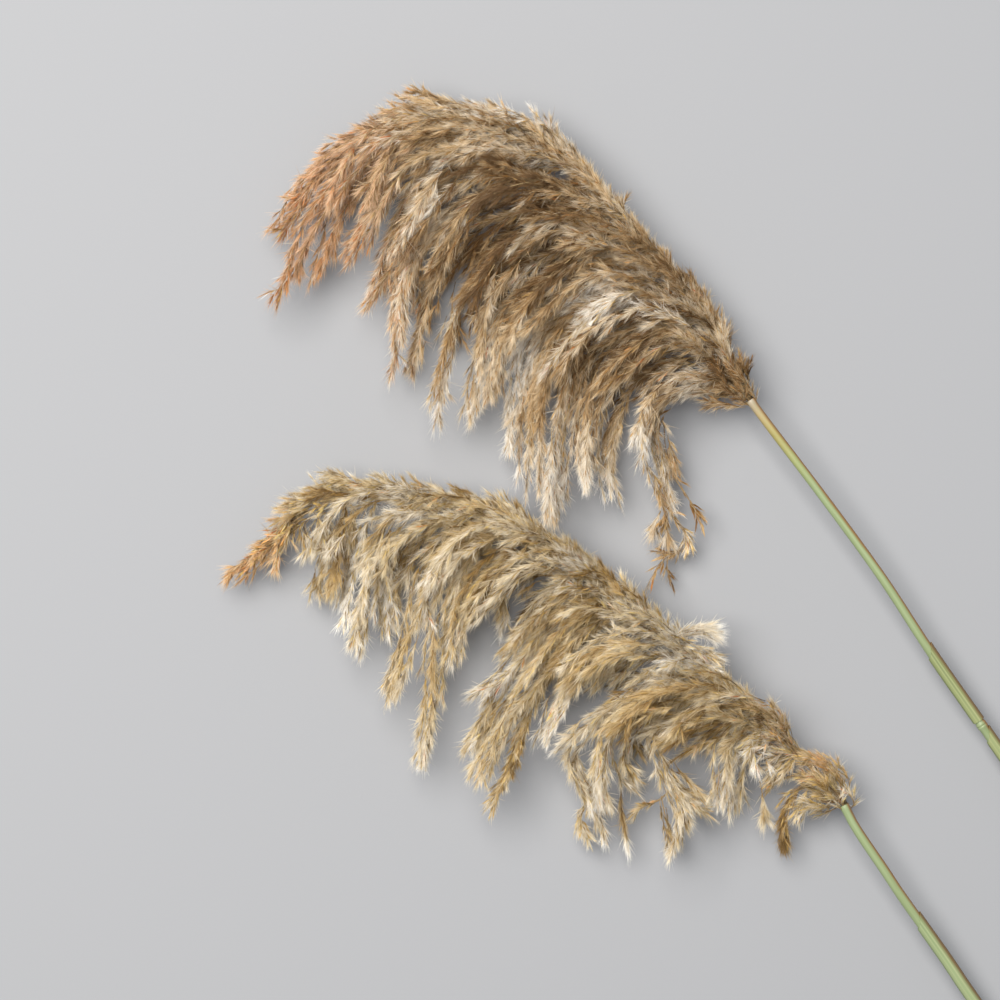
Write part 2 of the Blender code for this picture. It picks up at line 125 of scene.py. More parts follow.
REED_1_CREST_LOCKS = (
    Lock(0.02, ((8, 190), (3, 213)), 8, 7),
    Lock(0.06, ((-4, 213), (-20, 244)), -6, 8),
    Lock(0.12, ((-24, 230), (-52, 272)), 8, 4),
    Lock(0.18, ((-48, 252), (-79, 296)), -6, 7),
    Lock(0.26, ((-71, 284), (-94, 321)), 10, 8),
    Lock(0.33, ((-95, 312), (-121, 353)), -4, 9),
    Lock(0.41, ((-120, 337), (-160, 360)), 10, 9),
    Lock(0.49, ((-151, 347), (-193, 365)), -6, 10),
    Lock(0.57, ((-186, 354), (-220, 367)), 10, 9),
    Lock(0.67, ((-221, 344), (-256, 346)), -4, 9),
    Lock(0.77, ((-255, 332), (-286, 319)), 8, 8),
    Lock(0.86, ((-279, 309), (-304, 286)), -4, 8),
)
REED_1_FRONT_LOCKS = (
    Lock(0.05, ((-18, 195), (-53, 185), (-83, 150)), 34, 12),
    Lock(0.12, ((-46, 216), (-81, 206), (-118, 164)), 36, 13),
    Lock(0.2, ((-73, 244), (-109, 230), (-148, 185)), 37, 13),
    Lock(0.28, ((-101, 272), (-137, 258), (-174, 206)), 38, 13),
    Lock(0.36, ((-130, 298), (-165, 284), (-200, 227)), 38, 13),
    Lock(0.44, ((-158, 318), (-193, 300), (-221, 246)), 36, 13),
    Lock(0.53, ((-190, 330), (-220, 318), (-245, 272)), 34, 12),
    Lock(0.63, ((-221, 335), (-246, 321), (-270, 279)), 30, 11),
)
REED_1_BACK_LOCKS = (
    Lock(0.08, ((-32, 199), (-71, 174), (-81, 136)), -30, 13),
    Lock(0.2, ((-81, 227), (-120, 199), (-137, 157)), -30, 13),
    Lock(0.33, ((-130, 269), (-169, 241), (-186, 185)), -30, 13),
    Lock(0.47, ((-183, 311), (-218, 283), (-232, 227)), -30, 13),
)
REED_2_HANGING_LOCKS = (
    Lock(0.11, ((36, -90), (25, -97), (34, -111)), 6, 10),
    Lock(0.13, ((24, -88), (13, -113), (15, -139)), -8, 9),
    Lock(0.15, ((6, -85), (3, -113), (6, -141)), 14, 9),
    Lock(0.17, ((-11, -85), (-36, -97), (-24, -120), (-1, -139)), -2, 9),
    Lock(0.19, ((-18, -71), (-50, -85), (-34, -116), (-22, -132), (-32, -148), (-30, -172)), 8, 8),
    Lock(0.22, ((-25, -60), (-57, -74), (-66, -102), (-52, -125)), -12, 12),
    Lock(0.25, ((-43, -53), (-76, -78), (-81, -109), (-77, -139)), 12, 10),
    Lock(0.27, ((-53, -60), (-88, -80), (-102, -100), (-88, -123), (-92, -143), (-77, -161)), -4, 8),
    Lock(0.3, ((-64, -53), (-88, -71), (-114, -95)), 18, 7),
    Lock(0.33, ((-53, -22), (-78, -41), (-97, -50)), -14, 8),
    Lock(0.36, ((-74, -22), (-106, -53), (-123, -93)), 6, 12),
    Lock(0.4, ((-88, -1), (-123, -36), (-146, -71), (-169, -118)), 16, 12),
    Lock(0.43, ((-109, -8), (-134, -36), (-155, -67), (-174, -101)), -6, 11),
    Lock(0.45, ((-118, -6), (-143, -36), (-172, -62)), 10, 8),
    Lock(0.47, ((-120, 6), (-151, -33)), -12, 8),
    Lock(0.51, ((-137, 31), (-146, 6), (-153, -18)), -14, 10),
    Lock(0.55, ((-158, 38), (-178, 3), (-183, -39)), 16, 11),
    Lock(0.6, ((-183, 34), (-196, -11), (-197, -60), (-207, -108)), 0, 9),
    Lock(0.64, ((-200, 34), (-211, -4), (-230, -64)), 10, 10),
    Lock(0.69, ((-221, 45), (-231, 17), (-225, -20)), -12, 10),
    Lock(0.73, ((-232, 52), (-242, 17), (-252, -31)), 10, 9),
    Lock(0.78, ((-245, 59), (-253, 31), (-263, -11)), -6, 9),
    Lock(0.82, ((-260, 62), (-269, 11)), 10, 10),
    Lock(0.86, ((-276, 55), (-283, 8)), -8, 8),
    Lock(0.89, ((-285, 54), (-291, 38)), 8, 6),
    Lock(0.91, ((-304, 47), (-314, 30)), -4, 6),
    Lock(0.95, ((-323, 38), (-346, 25)), 2, 6),
)
REED_2_CREST_LOCKS = (
    Lock(0.14, ((27, -66), (10, -50)), 6, 6),
    Lock(0.19, ((4, -41), (-18, -27)), -4, 7),
    Lock(0.26, ((-25, -18), (-48, 7)), 2, 7),
    Lock(0.33, ((-57, 13), (-81, 38)), 10, 7),
    Lock(0.4, ((-87, 38), (-108, 56)), -4, 7),
    Lock(0.46, ((-112, 52), (-140, 74)), 8, 7),
    Lock(0.52, ((-134, 69), (-151, 89)), -2, 5),
    Lock(0.55, ((-151, 74), (-185, 88)), 8, 8),
    Lock(0.63, ((-193, 85), (-228, 97)), -4, 9),
    Lock(0.72, ((-239, 92), (-279, 102)), 8, 9),
    Lock(0.8, ((-270, 88), (-302, 85)), -4, 8),
    Lock(0.87, ((-297, 76), (-318, 66)), 6, 7),
)
REED_2_FRONT_LOCKS = (
    Lock(0.12, ((24, -69), (-8, -69), (-39, -92)), 32, 12),
    Lock(0.2, ((-8, -50), (-43, -57), (-76, -81)), 34, 12),
    Lock(0.28, ((-43, -24), (-78, -25), (-109, -50)), 34, 12),
    Lock(0.36, ((-78, 10), (-109, 4), (-141, -25)), 34, 12),
    Lock(0.44, ((-113, 36), (-144, 27), (-174, -4)), 34, 12),
    Lock(0.53, ((-151, 59), (-179, 48), (-206, 13)), 32, 12),
    Lock(0.62, ((-193, 69), (-220, 57), (-242, 24)), 30, 12),
    Lock(0.71, ((-239, 78), (-260, 66), (-279, 36)), 26, 11),
)
REED_2_BACK_LOCKS = (
    Lock(0.18, ((-18, -60), (-50, -74), (-53, -109)), -30, 13),
    Lock(0.33, ((-74, -4), (-109, -32), (-130, -67)), -30, 13),
    Lock(0.47, ((-130, 38), (-162, 17), (-179, -18)), -30, 13),
    Lock(0.6, ((-186, 59), (-218, 38), (-232, 3)), -28, 13),
)
REED_2_TWIGS = (
    Lock(0.41, ((-109, -32), (-137, -81), (-144, -108), (-160, -141)), 4, 6),
)


class Sprig(NamedTuple):
    """A loose end: the x, y and z that it runs through and its half width."""

    places: tuple
    half_width: float


# Strands pressed along the rachis where the upper plume narrows to its neck
REED_1_NECK = (
    Sprig(((27, 146, 31), (24, 151, 32), (17, 162, 34)), 8),
    Sprig(((24, 150, 31), (20, 164, 33), (23, 181, 34)), 4.5),
    Sprig(((24, 150, 31), (14, 168, 36), (8, 188, 40)), 8),
    Sprig(((23, 149, 31), (4, 161, 32), (-11, 170, 30)), 9),
    Sprig(((23, 147, 30), (5, 152, 28), (-12, 149, 26)), 5),
    Sprig(((24, 150, 33), (10, 166, 42), (-3, 185, 48)), 9),
    Sprig(((24, 150, 28), (10, 164, 20), (-3, 180, 16)), 8),
)
# The branch that hooks back under the upper plume, and the twig beside it
REED_1_HOOK = (
    Sprig(((-47, 134, 27), (-41, 117, 25), (-38, 101, 23), (-34, 86, 21), (-28, 71, 19)), 5.5),
    Sprig(((-36, 134, 26), (-35, 118, 24), (-31, 106, 23), (-27, 94, 22)), 4.5),
    Sprig(((-52, 118, 25), (-46, 100, 23), (-40, 84, 21), (-33, 68, 19)), 2.5),
)
REED_1_HOOK_HAIRS = (
    Sprig(((-38, 72, 20), (-41, 63, 19), (-40, 55, 18)), 1.5),
    Sprig(((-34, 66, 19), (-33, 56, 18), (-30, 48, 17)), 1.5),
)
REED_1_HOOK_ENDS = (
    Sprig(((-34, 78, 20), (-28, 66, 19), (-21, 58, 18), (-19, 50, 17), (-24, 42, 16)), 3.0),
    Sprig(((-34, 72, 20), (-37, 64, 19), (-43, 67, 18)), 3.0),
    Sprig(((-21, 50, 17), (-26, 43, 16), (-34, 42, 16), (-46, 44, 15)), 1.6),
    Sprig(((-31, 43, 16), (-37, 36, 15), (-43, 27, 14), (-51, 12, 13)), 0.9),
    Sprig(((-33, 41, 16), (-33, 30, 14), (-28, 15, 13)), 0.8),
    Sprig(((-30, 98, 22), (-21, 84, 21), (-5, 61, 20)), 0.9),
)
REED_2_NECK = (
    Sprig(((55, -96, 32), (44, -84, 39), (30, -84, 42), (16, -96, 40)), 5.5),
    Sprig(((50, -92, 33), (38, -76, 40), (22, -74, 43), (6, -86, 41)), 5.5),
    Sprig(((56, -98, 30), (50, -104, 32), (42, -114, 30), (40, -124, 27)), 4.5),
    Sprig(((57, -98, 30), (43, -82, 33), (28, -67, 34)), 4.0),
    Sprig(((57, -98, 30), (38, -91, 34), (20, -85, 36)), 8),
    Sprig(((58, -100, 34), (46, -88, 38), (31, -75, 40)), 5),
    Sprig(((57, -99, 30), (44, -104, 28), (34, -110, 26)), 5),
)
# The tuft that points back along the stem side of the lower plume, with white hairs on it
REED_2_TUFT = (
    Sprig(((-36, -22, 38), (-22, -22, 41), (-8, -27, 41), (7, -34, 38)), 4.5),
    Sprig(((-40, -30, 40), (-24, -32, 42), (-8, -38, 41), (7, -44, 37)), 4.5),
)
REED_2_TUFT_HAIRS = (
    Sprig(((-32, -18, 42), (-20, -12, 44), (-8, -12, 44), (2, -18, 43)), 4.0),
)
# Loose tassels under the stem end of the lower plume
REED_2_TASSELS = (
    Sprig(((-98, -98, 26), (-93, -114, 24), (-88, -130, 22), (-95, -143, 20), (-91, -154, 18), (-82, -161, 17)), 3.2),
    Sprig(((-80, -112, 24), (-78, -124, 22), (-79, -141, 20)), 1.6),
    Sprig(((-38, -128, 24), (-34, -146, 21), (-30, -160, 19), (-30, -172, 18)), 3.2),
    Sprig(((-24, -130, 24), (-20, -139, 22), (-18, -148, 20)), 3.0),
    Sprig(((-30, -122, 26), (-40, -131, 24), (-52, -136, 22), (-63, -143, 20)), 1.6),
    Sprig(((-34, -106, 28), (-24, -122, 25), (-14, -134, 23), (-3, -138, 22)), 3.0),
)
REED_2_FILAMENTS = (
    Sprig(((-66, -120, 24), (-66, -136, 22), (-64, -150, 20), (-60, -167, 18)), 0.5),
    Sprig(((30, -112, 26), (33, -126, 24), (36, -149, 22)), 0.5),
)
# The orange spike in which the lower plume ends
REED_2_SPIKE = (
    Sprig(((-270, 79, 31), (-288, 70, 30), (-304, 57, 28), (-316, 46, 25)), 8.0),
    Sprig(((-290, 69, 30), (-304, 59, 28), (-318, 45, 25), (-328, 35, 22)), 6.0),
    Sprig(((-306, 56, 27), (-318, 44, 24), (-330, 33, 21), (-340, 27, 19)), 3.5),
    Sprig(((-322, 41, 22), (-334, 30, 19), (-348, 24, 17)), 1.6),
)
REED_2_WHORL_LOCKS = (
    Sprig(((92, -137, 27), (90, -132, 28), (84, -122, 31)), 8),
    Sprig(((90, -134, 28), (88, -122, 30), (78, -107, 33), (66, -100, 34), (55, -101, 33)), 4.5),
    Sprig(((88, -131, 28), (91, -120, 31), (82, -108, 33), (70, -102, 33)), 4.0),
    Sprig(((90, -134, 27), (76, -122, 32), (62, -115, 34), (54, -117, 32)), 6.5),
    Sprig(((90, -134, 26), (74, -131, 28), (58, -128, 28)), 6.0),
    Sprig(((89, -133, 26), (78, -136, 24), (66, -137, 22)), 3.5),
    Sprig(((82, -124, 27), (70, -116, 30), (60, -106, 32)), 5.5),
    Sprig(((88, -131, 33), (77, -119, 37), (62, -110, 38)), 5.0),
    Sprig(((68, -118, 27), (57, -124, 25), (51, -136, 23), (48, -148, 21), (49, -169, 19)), 4.2),
    Sprig(((70, -126, 26), (61, -136, 23), (58, -149, 21)), 3.6),
)
REED_2_WHORL_TWIGS = (
    Sprig(((60, -112, 28), (48, -115, 27), (40, -118, 26), (32, -124, 25)), 1.6),
    Sprig(((62, -120, 27), (52, -126, 26), (44, -131, 25)), 1.0),
)


class Line:
    """A smooth curve through a list of places, measured along its own length."""

    SAMPLES_PER_SPAN = 16

    def __init__(self, places):
        knots = np.array(places, float)
        knots = np.vstack([2 * knots[0] - knots[1], knots, 2 * knots[-1] - knots[-2]])
        share = (np.arange(self.SAMPLES_PER_SPAN) / self.SAMPLES_PER_SPAN)[:, None]
        spans = []
        for a, b, c, d in zip(knots, knots[1:], knots[2:], knots[3:]):
            bend = (2 * a - 5 * b + 4 * c - d) * share ** 2
            twist = (3 * b - a - 3 * c + d) * share ** 3
            spans.append(0.5 * (2 * b + (c - a) * share + bend + twist))
        self.points = np.vstack([*spans, knots[-2]])
        steps = np.linalg.norm(np.diff(self.points, axis=0), axis=1)
        self.lengths = np.concatenate([[0.0], np.cumsum(steps)])
        self.length = self.lengths[-1]

    def at(self, distance):
        """The places this far along, for any array of distances."""
        places = [np.interp(distance, self.lengths, self.points[:, i]) for i in range(3)]
        return np.stack(places, axis=-1)

    def direction(self, distance):
        reach = self.length * 0.01
        ahead = self.at(np.minimum(distance + reach, self.length))
        behind = self.at(np.maximum(distance - reach, 0.0))
        return unit(ahead - behind)


def unit(vectors):
    return vectors / np.maximum(np.linalg.norm(vectors, axis=-1, keepdims=True), 1e-9)


def across(directions):
    """Two directions square to each given one: one level with the surface and one upward."""
    side = unit(np.cross(directions, (0.0, 0.0, 1.0)))
    return side, unit(np.cross(side, directions))


def pulled(place, axis, distance):
    """An x and y pulled this far towards the rachis, but never by more than a share of the way."""
    gaps = axis.points[:, :2] - np.array(place, float)
    away = np.linalg.norm(gaps, axis=1)
    nearest = away.argmin()
    share = min(distance / max(away[nearest], 1e-6), MOST_PULL)
    return np.array(place) + share * gaps[nearest]


def lock_line(axis, lock, pressed=0.0):
    """A lock's own line: from the rachis over to its own height, and down a little to its tip. It
    may be pressed some way towards the rachis, to leave room for the hairs that stand off it."""
    root = axis.at(lock.root * axis.length)
    flat = Line([(root[0], root[1], 0.0), *((*pulled(place, axis, pressed), 0.0) for place in lock.places)])
    places = []
    for share in LOCK_HEIGHT_SHARES:
        x, y, _ = flat.at(share * flat.length)
        rise = min(share / LOCK_RISEN_BY, 1.0) - LOCK_TIP_FALL * max(share - LOCK_RISEN_BY, 0.0)
        places.append((x, y, max(root[2] + lock.lift * rise, LOCK_LOWEST)))
    return Line(places)


def from_hex(colour):
    """An sRGB hex colour as linear red, green, blue and alpha."""
    parts = [int(colour[i:i + 2], 16) / 255 for i in (1, 3, 5)]
    return (*[c / 12.92 if c <= 0.04045 else ((c + 0.055) / 1.055) ** 2.4 for c in parts], 1.0)


def add(tree, kind, inputs=None, stops=None, **settings):
    """A node of this kind in the tree, with its settings, its ramp's stops, its inputs and its links."""
    made = tree.nodes.new("ShaderNode" + kind)
    for name, value in settings.items():
        setattr(made, name, value)
    if stops:
        ramp = made.color_ramp
        while len(ramp.elements) < len(stops):
            ramp.elements.new(0.5)
        for element, (place, colour) in zip(ramp.elements, stops):
            element.position = place
            element.color = from_hex(colour)
    for socket, value in (inputs or {}).items():
        if isinstance(value, bpy.types.NodeSocket):
            tree.links.new(value, made.inputs[socket])
        else:
            made.inputs[socket].default_value = value
    return made


def bare_material(name):
    material = bpy.data.materials.new(name)
    material.use_nodes = True
    material.node_tree.nodes.clear()
    return material, material.node_tree


# Each kind of strand has its own stretch of the palette map's U; V runs from a strand's root to its tip
HUSK_BAND = (0.00, 0.32)
HAIR_BAND = (0.36, 0.66)
TWIG_BAND = (0.70, 0.99)
PALETTE_MAP = "OFBake"
STRAND_MAP_WIDTH = 0.003

# Tints along each band: husks from the darkest over straw to rust; hairs have peach first, and then
# run from the darkest over tan to white
TAN_HUSK_TINTS = ((0.00, "#5a422b"), (0.20, "#86633a"), (0.40, "#a97f4b"), (0.60, "#c5a262"),
                  (0.74, "#d9c084"), (0.84, "#d8a56c"), (0.92, "#cb874f"), (1.00, "#b3673a"))
TAN_HAIR_TINTS = ((0.00, "#ecd0b4"), (0.08, "#e2bd98"), (0.16, "#c39a70"), (0.24, "#6e563d"),
                  (0.34, "#a5875e"), (0.44, "#cfb38a"), (0.54, "#dfcaa6"), (0.68, "#e8dcc6"),
                  (0.84, "#f3eee4"), (1.00, "#fbfaf7"))
STRAW_HUSK_TINTS = ((0.00, "#66502e"), (0.20, "#92733c"), (0.40, "#b69551"), (0.60, "#d0b56c"),
                    (0.74, "#dfcb8a"), (0.84, "#dbae6c"), (0.92, "#cd8d50"), (1.00, "#b86c3b"))
STRAW_HAIR_TINTS = ((0.00, "#eed3b0"), (0.08, "#e6c396"), (0.16, "#c8a16e"), (0.24, "#78613f"),
                    (0.34, "#b09362"), (0.44, "#d6be90"), (0.54, "#e2d2ac"), (0.68, "#eae0c9"),
                    (0.84, "#f4efe4"), (1.00, "#fbfaf6"))
TWIG_TINTS = ((0.00, "#5e4a33"), (0.50, "#806a4a"), (1.00, "#a18c65"))


def strand_material(name, band, tints, root_tone_and_painted_shade, tip_light, through, roughness):
    """A dry plant fibre. Its tint comes from U, and a share of the light passes through it. Its root
    is darker, partly its own colour and partly painted shade where the roots lie deep in the lock,
    and its tip lighter."""
    material, tree = bare_material(name)
    place = add(tree, "UVMap", uv_map=PALETTE_MAP)
    split = add(tree, "SeparateXYZ", {"Vector": place.outputs["UV"]})
    share = add(tree, "MapRange", {"Value": split.outputs["X"], "From Min": band[0], "From Max": band[1]})
    tint = add(tree, "ValToRGB", {"Fac": share.outputs["Result"]}, stops=tints)
    # darker at the root: partly the strand's own colour, partly painted shade deep in the lock
    along = add(tree, "ValToRGB", {"Fac": split.outputs["Y"]},
                stops=((0.0, root_tone_and_painted_shade), (0.55, "#ffffff"), (1.0, tip_light)))
    colour = add(tree, "Mix", {"Factor": 1.0, "A": tint.outputs["Color"], "B": along.outputs["Color"]},
                 data_type="RGBA", blend_type="MULTIPLY")
    tinted = colour_out(colour)
    surface = add(tree, "BsdfPrincipled", {"Base Color": tinted, "Roughness": roughness,
                                           "Specular IOR Level": 0.25})
    glow = add(tree, "BsdfTranslucent", {"Color": tinted})
    mixed = add(tree, "MixShader", {"Fac": through, 1: surface.outputs[0], 2: glow.outputs[0]})
    add(tree, "OutputMaterial", {"Surface": mixed.outputs[0]})
    return material


def colour_out(mix):
    """The colour result of a Mix node."""
    return next(s for s in mix.outputs if s.enabled and s.type == "RGBA")


def fine_noise(tree, place, scale, detail):
    """Noise stretched to this scale round the stem and along it."""
    stretched = add(tree, "Mapping", {"Vector": place.outputs["UV"], "Scale": (*scale, 1.0)})
    return add(tree, "TexNoise", {"Vector": stretched.outputs[0], "Scale": 1.0, "Detail": detail})


def sunned_and_shaded_line(tree, split, blotches, wander, widths):
    """The share of orange-brown at each place, partly sunned colour and partly painted shade on the
    shaded side: all of it within the lesser width of the line and none beyond the greater one,
    both in metres and pushed about by the blotches."""
    # U starts underneath, so the side that faces +X and +Y is three quarters of the way round
    from_line = add(tree, "Math", {0: split.outputs["X"], 1: SUNNED_AND_SHADED_LINE * SKIN_AROUND * MM},
                    operation="SUBTRACT")
    off_line = add(tree, "Math", {0: from_line.outputs[0]}, operation="ABSOLUTE")
    wandering = add(tree, "Math", {0: blotches.outputs["Fac"], 1: wander, 2: off_line.outputs[0]},
                    operation="MULTIPLY_ADD")
    return add(tree, "MapRange", {"Value": wandering.outputs[0], "From Min": widths[1],
                                  "From Max": widths[0]})


def culm_material():
    """Reed stem dried while still green: waxy pale green skin, fine ribs along it, yellow at the neck
    and a line of orange-brown, partly where the sun caught it and partly painted shade on its
    shaded side."""
    material, tree = bare_material("dried_green_reed_stem")
    place = add(tree, "UVMap", uv_map="along_the_stem")
    # U is round the stem and V along it, both in metres
    split = add(tree, "SeparateXYZ", {"Vector": place.outputs["UV"]})
    down = add(tree, "MapRange", {"Value": split.outputs["Y"], "From Max": CULM_TINTED_TO})
    age = add(tree, "ValToRGB", {"Fac": down.outputs[0]},
              stops=((0.0, "#978b7b"), (0.02, "#968560"), (0.05, "#8f834e"), (0.09, "#81885a"),
                     (0.13, "#7b8965"), (0.7, "#7b8864"), (1.0, "#7b835e")))
    flecks = fine_noise(tree, place, (500.0, 25.0), 4.0)
    fading = add(tree, "MapRange", {"Value": flecks.outputs["Fac"], "From Min": 0.42, "From Max": 0.75,
                                    "To Max": 0.5})
    faded = add(tree, "Mix", {"Factor": fading.outputs[0], "A": age.outputs["Color"],
                              "B": from_hex("#68744a")}, data_type="RGBA")
    blotches = fine_noise(tree, place, (90.0, 14.0), 3.0)
    # the orange-brown line: partly sunned colour, partly painted shade on the stem's shaded side
    sunned_and_shaded = sunned_and_shaded_line(tree, split, blotches, 0.003, (0.0026, 0.0044))
    coloured = add(tree, "Mix", {"Factor": sunned_and_shaded.outputs[0], "A": colour_out(faded),
                                 "B": from_hex("#7d5f38")}, data_type="RGBA")
    ribs = fine_noise(tree, place, (2600.0, 6.0), 2.0)
    relief = add(tree, "Bump", {"Height": ribs.outputs["Fac"], "Strength": 0.35, "Distance": 0.0002})
    surface = add(tree, "BsdfPrincipled", {"Base Color": colour_out(coloured), "Roughness": 0.42,
                                           "Normal": relief.outputs[0], "Specular IOR Level": 0.45})
    add(tree, "OutputMaterial", {"Surface": surface.outputs[0]})
    return material


def sheath_material(name, tints):
    """Leaf sheath: a dry papery sleeve, olive or green with straw-coloured ribs along it."""
    material, tree = bare_material(name)
    place = add(tree, "UVMap", uv_map="along_the_stem")
    split = add(tree, "SeparateXYZ", {"Vector": place.outputs["UV"]})
    ribs = fine_noise(tree, place, (1100.0, 5.0), 2.0)
    colour = add(tree, "ValToRGB", {"Fac": ribs.outputs["Fac"]}, stops=tints)
    blotches = fine_noise(tree, place, (60.0, 18.0), 4.0)
    # the orange-brown line: partly sunned colour, partly painted shade on the sheath's shaded side
    sunned_and_shaded = sunned_and_shaded_line(tree, split, blotches, 0.003, (0.0026, 0.0046))
    coloured = add(tree, "Mix", {"Factor": sunned_and_shaded.outputs[0], "A": colour.outputs["Color"],
                                 "B": from_hex("#6b5635")}, data_type="RGBA")
    relief = add(tree, "Bump", {"Height": ribs.outputs["Fac"], "Strength": 0.5, "Distance": 0.0003})
    surface = add(tree, "BsdfPrincipled", {"Base Color": colour_out(coloured), "Roughness": 0.55,
                                           "Normal": relief.outputs[0]})
    add(tree, "OutputMaterial", {"Surface": surface.outputs[0]})
    return material


def pick(test):
    """In edit mode, select the points of the piece in hand whose place passes the test."""
    bpy.ops.mesh.select_mode(type="VERT")
    bpy.ops.mesh.select_all(action="DESELECT")
    mesh = bmesh.from_edit_mesh(bpy.context.object.data)
    for vert in mesh.verts:
        vert.select_set(bool(test(vert.co)))
    mesh.select_flush_mode()
    bmesh.update_edit_mesh(bpy.context.object.data)


def model_husk():
    """One husk: a pointed blade folded along its middle, a unit long, from its root at the origin."""
    bpy.ops.object.select_all(action="DESELECT")
    bpy.ops.mesh.primitive_circle_add(vertices=4, radius=0.5, fill_type="NGON", location=(0, 0, 0))
    bpy.ops.object.mode_set(mode="EDIT")
    bpy.ops.mesh.select_all(action="SELECT")
    bpy.ops.transform.translate(value=(0.0, 0.5, 0.0))
    pick(lambda co: abs(co.x) < 0.1)
    bpy.ops.mesh.vert_connect()
    pick(lambda co: abs(co.x) > 0.4)
    bpy.ops.transform.translate(value=(0.0, -0.16, -0.22))
    bpy.ops.object.mode_set(mode="OBJECT")
    return bpy.context.object


def unit_spikelet():
    """The points, faces and strand map of one spikelet: three husks, each sprung from the one below."""
    husks = []
    for root, length, lean, sideways in ((0.0, 0.72, 8.0, 0.05), (0.16, 0.70, -10.0, -0.05),
                                         (0.36, 0.64, 3.0, 0.0)):
        husk = model_husk()
        bpy.ops.object.mode_set(mode="EDIT")
        bpy.ops.mesh.select_all(action="SELECT")
        bpy.ops.transform.resize(value=(1.0, length, 1.0), center_override=(0, 0, 0))
        bpy.ops.transform.translate(value=(sideways + 0.02 * lean, root, 0.0))
        bpy.ops.object.mode_set(mode="OBJECT")
        husks.append(husk)
    return husks


def read_unit(piece):
    """A small modelled shape as arrays of its points and its triangles, and then it is removed."""
    mesh = piece.data
    mesh.calc_loop_triangles()
    points = np.array([vert.co for vert in mesh.vertices], float)
    triangles = np.array([face.vertices for face in mesh.loop_triangles], int)
    bpy.data.objects.remove(piece)
    return points, triangles


class Style(NamedTuple):
    """How the down of a lock is laid: how many twigs it has, how wide its branchlets part and the
    twigs from their branchlet, how many hairs each spikelet has and how long, how far apart the
    spikelets sit, how far the twigs reach, how far the spikelets lean, how many bear an awn and how
    much whiter the hairs are at the tip."""

    twigs: float
    spread: float
    splay: float
    hairs: float
    hair_length: float
    spacing: float
    reach: tuple
    lean: float = 1.0
    awns: float = 0.03
    silvered: float = 0.0


HANGING = Style(1.0, 0.95, 0.55, 26, 10.5, 4.6, (24, 46), silvered=0.16)
FILLING = Style(0.8, 1.15, 0.8, 26, 11.0, 5.2, (24, 46))
CREST = Style(1.2, 0.85, 0.7, 30, 9.0, 4.4, (12, 24), lean=1.1, awns=0.12)
CREST_FILLING = Style(1.2, 0.85, 0.7, 30, 9.0, 4.6, (12, 22), lean=1.1, awns=0.12)
FRONT = Style(1.0, 1.15, 0.9, 28, 11.5, 5.0, (22, 44))
BACK = Style(0.8, 1.2, 1.0, 20, 11.0, 6.5, (26, 50))
CORE = Style(1.3, 1.1, 1.0, 26, 10.0, 4.6, (14, 28))
NECK = Style(3.4, 1.0, 0.5, 18, 8.5, 4.2, (12, 24), lean=0.55)
SPIKE = Style(3.2, 0.8, 0.5, 10, 6.5, 3.8, (9, 18), lean=1.5, awns=0.22)
TASSEL = Style(3.6, 0.8, 0.3, 24, 7.5, 3.8, (10, 22), silvered=0.1)
BARE = Style(7.0, 0.8, 0.25, 14, 6.0, 4.2, (8, 14))
FILAMENT = Style(6.0, 0.8, 0.1, 40, 12.0, 4.0, (10, 24), lean=0.2, awns=0.0, silvered=0.4)

TWIG_STATIONS = 5
TWIG_RADII = (0.32, 0.12)
STALK_STATIONS = 10
STALK_RADII = (0.55, 0.25)
SILVERED_FROM = 0.5
CREST_PRESSED = 5.0
TWIG_SPLAY = (1.0, 5.5)
TWIGS_PER_CM2 = 1.75
BRANCHLET_SPACING = 2.4
BRANCHLET_SHORTER = 0.07
SHORTEST_TWIG = 11.0
SPIKELET_LENGTH = (7.5, 12.0)
SPIKELET_HALF_WIDTH = (1.0, 1.6)
SPIKELET_SPREAD = (0.08, 0.42)
SPIKELET_REACH = 8.0
RUST_SPIKELETS = 0.05
HAIR_HALF_WIDTH = 0.21
HAIR_SPREAD = 0.20
STRAY_HAIR_SPREAD = 0.55
STRAY_HAIRS = 0.22
AWN_LENGTH = (10.0, 15.0)
AWN_LEAN = (0.3, 0.8)
AWN_HALF_WIDTH = 0.22
AWN_TINT = 0.15
# Painted shade: how much darker the strands are that lie low in the plume, near the surface
INNER_PAINTED_SHADE = 0.06
LOWEST_STRAND = 0.3
SETTLING = 3.0

FULLNESS = ((0.0, 0.45), (0.12, 0.85), (0.35, 1.0), (0.6, 0.90), (0.8, 0.70), (1.0, 0.44))


def fullness(share):
    places, values = zip(*FULLNESS)
    return np.interp(share, places, values)


def smooth_step(low, high, value):
    share = np.clip((value - low) / (high - low), 0.0, 1.0)
    return share * share * (3.0 - 2.0 * share)


class Strands(NamedTuple):
    """Placed copies of one small shape: where each starts, which way it runs and faces, its size, its
    bend at the tip and its tint along its band."""

    start: np.ndarray
    along: np.ndarray
    facing: np.ndarray
    length: np.ndarray
    half_width: np.ndarray
    bend: np.ndarray
    tint: np.ndarray


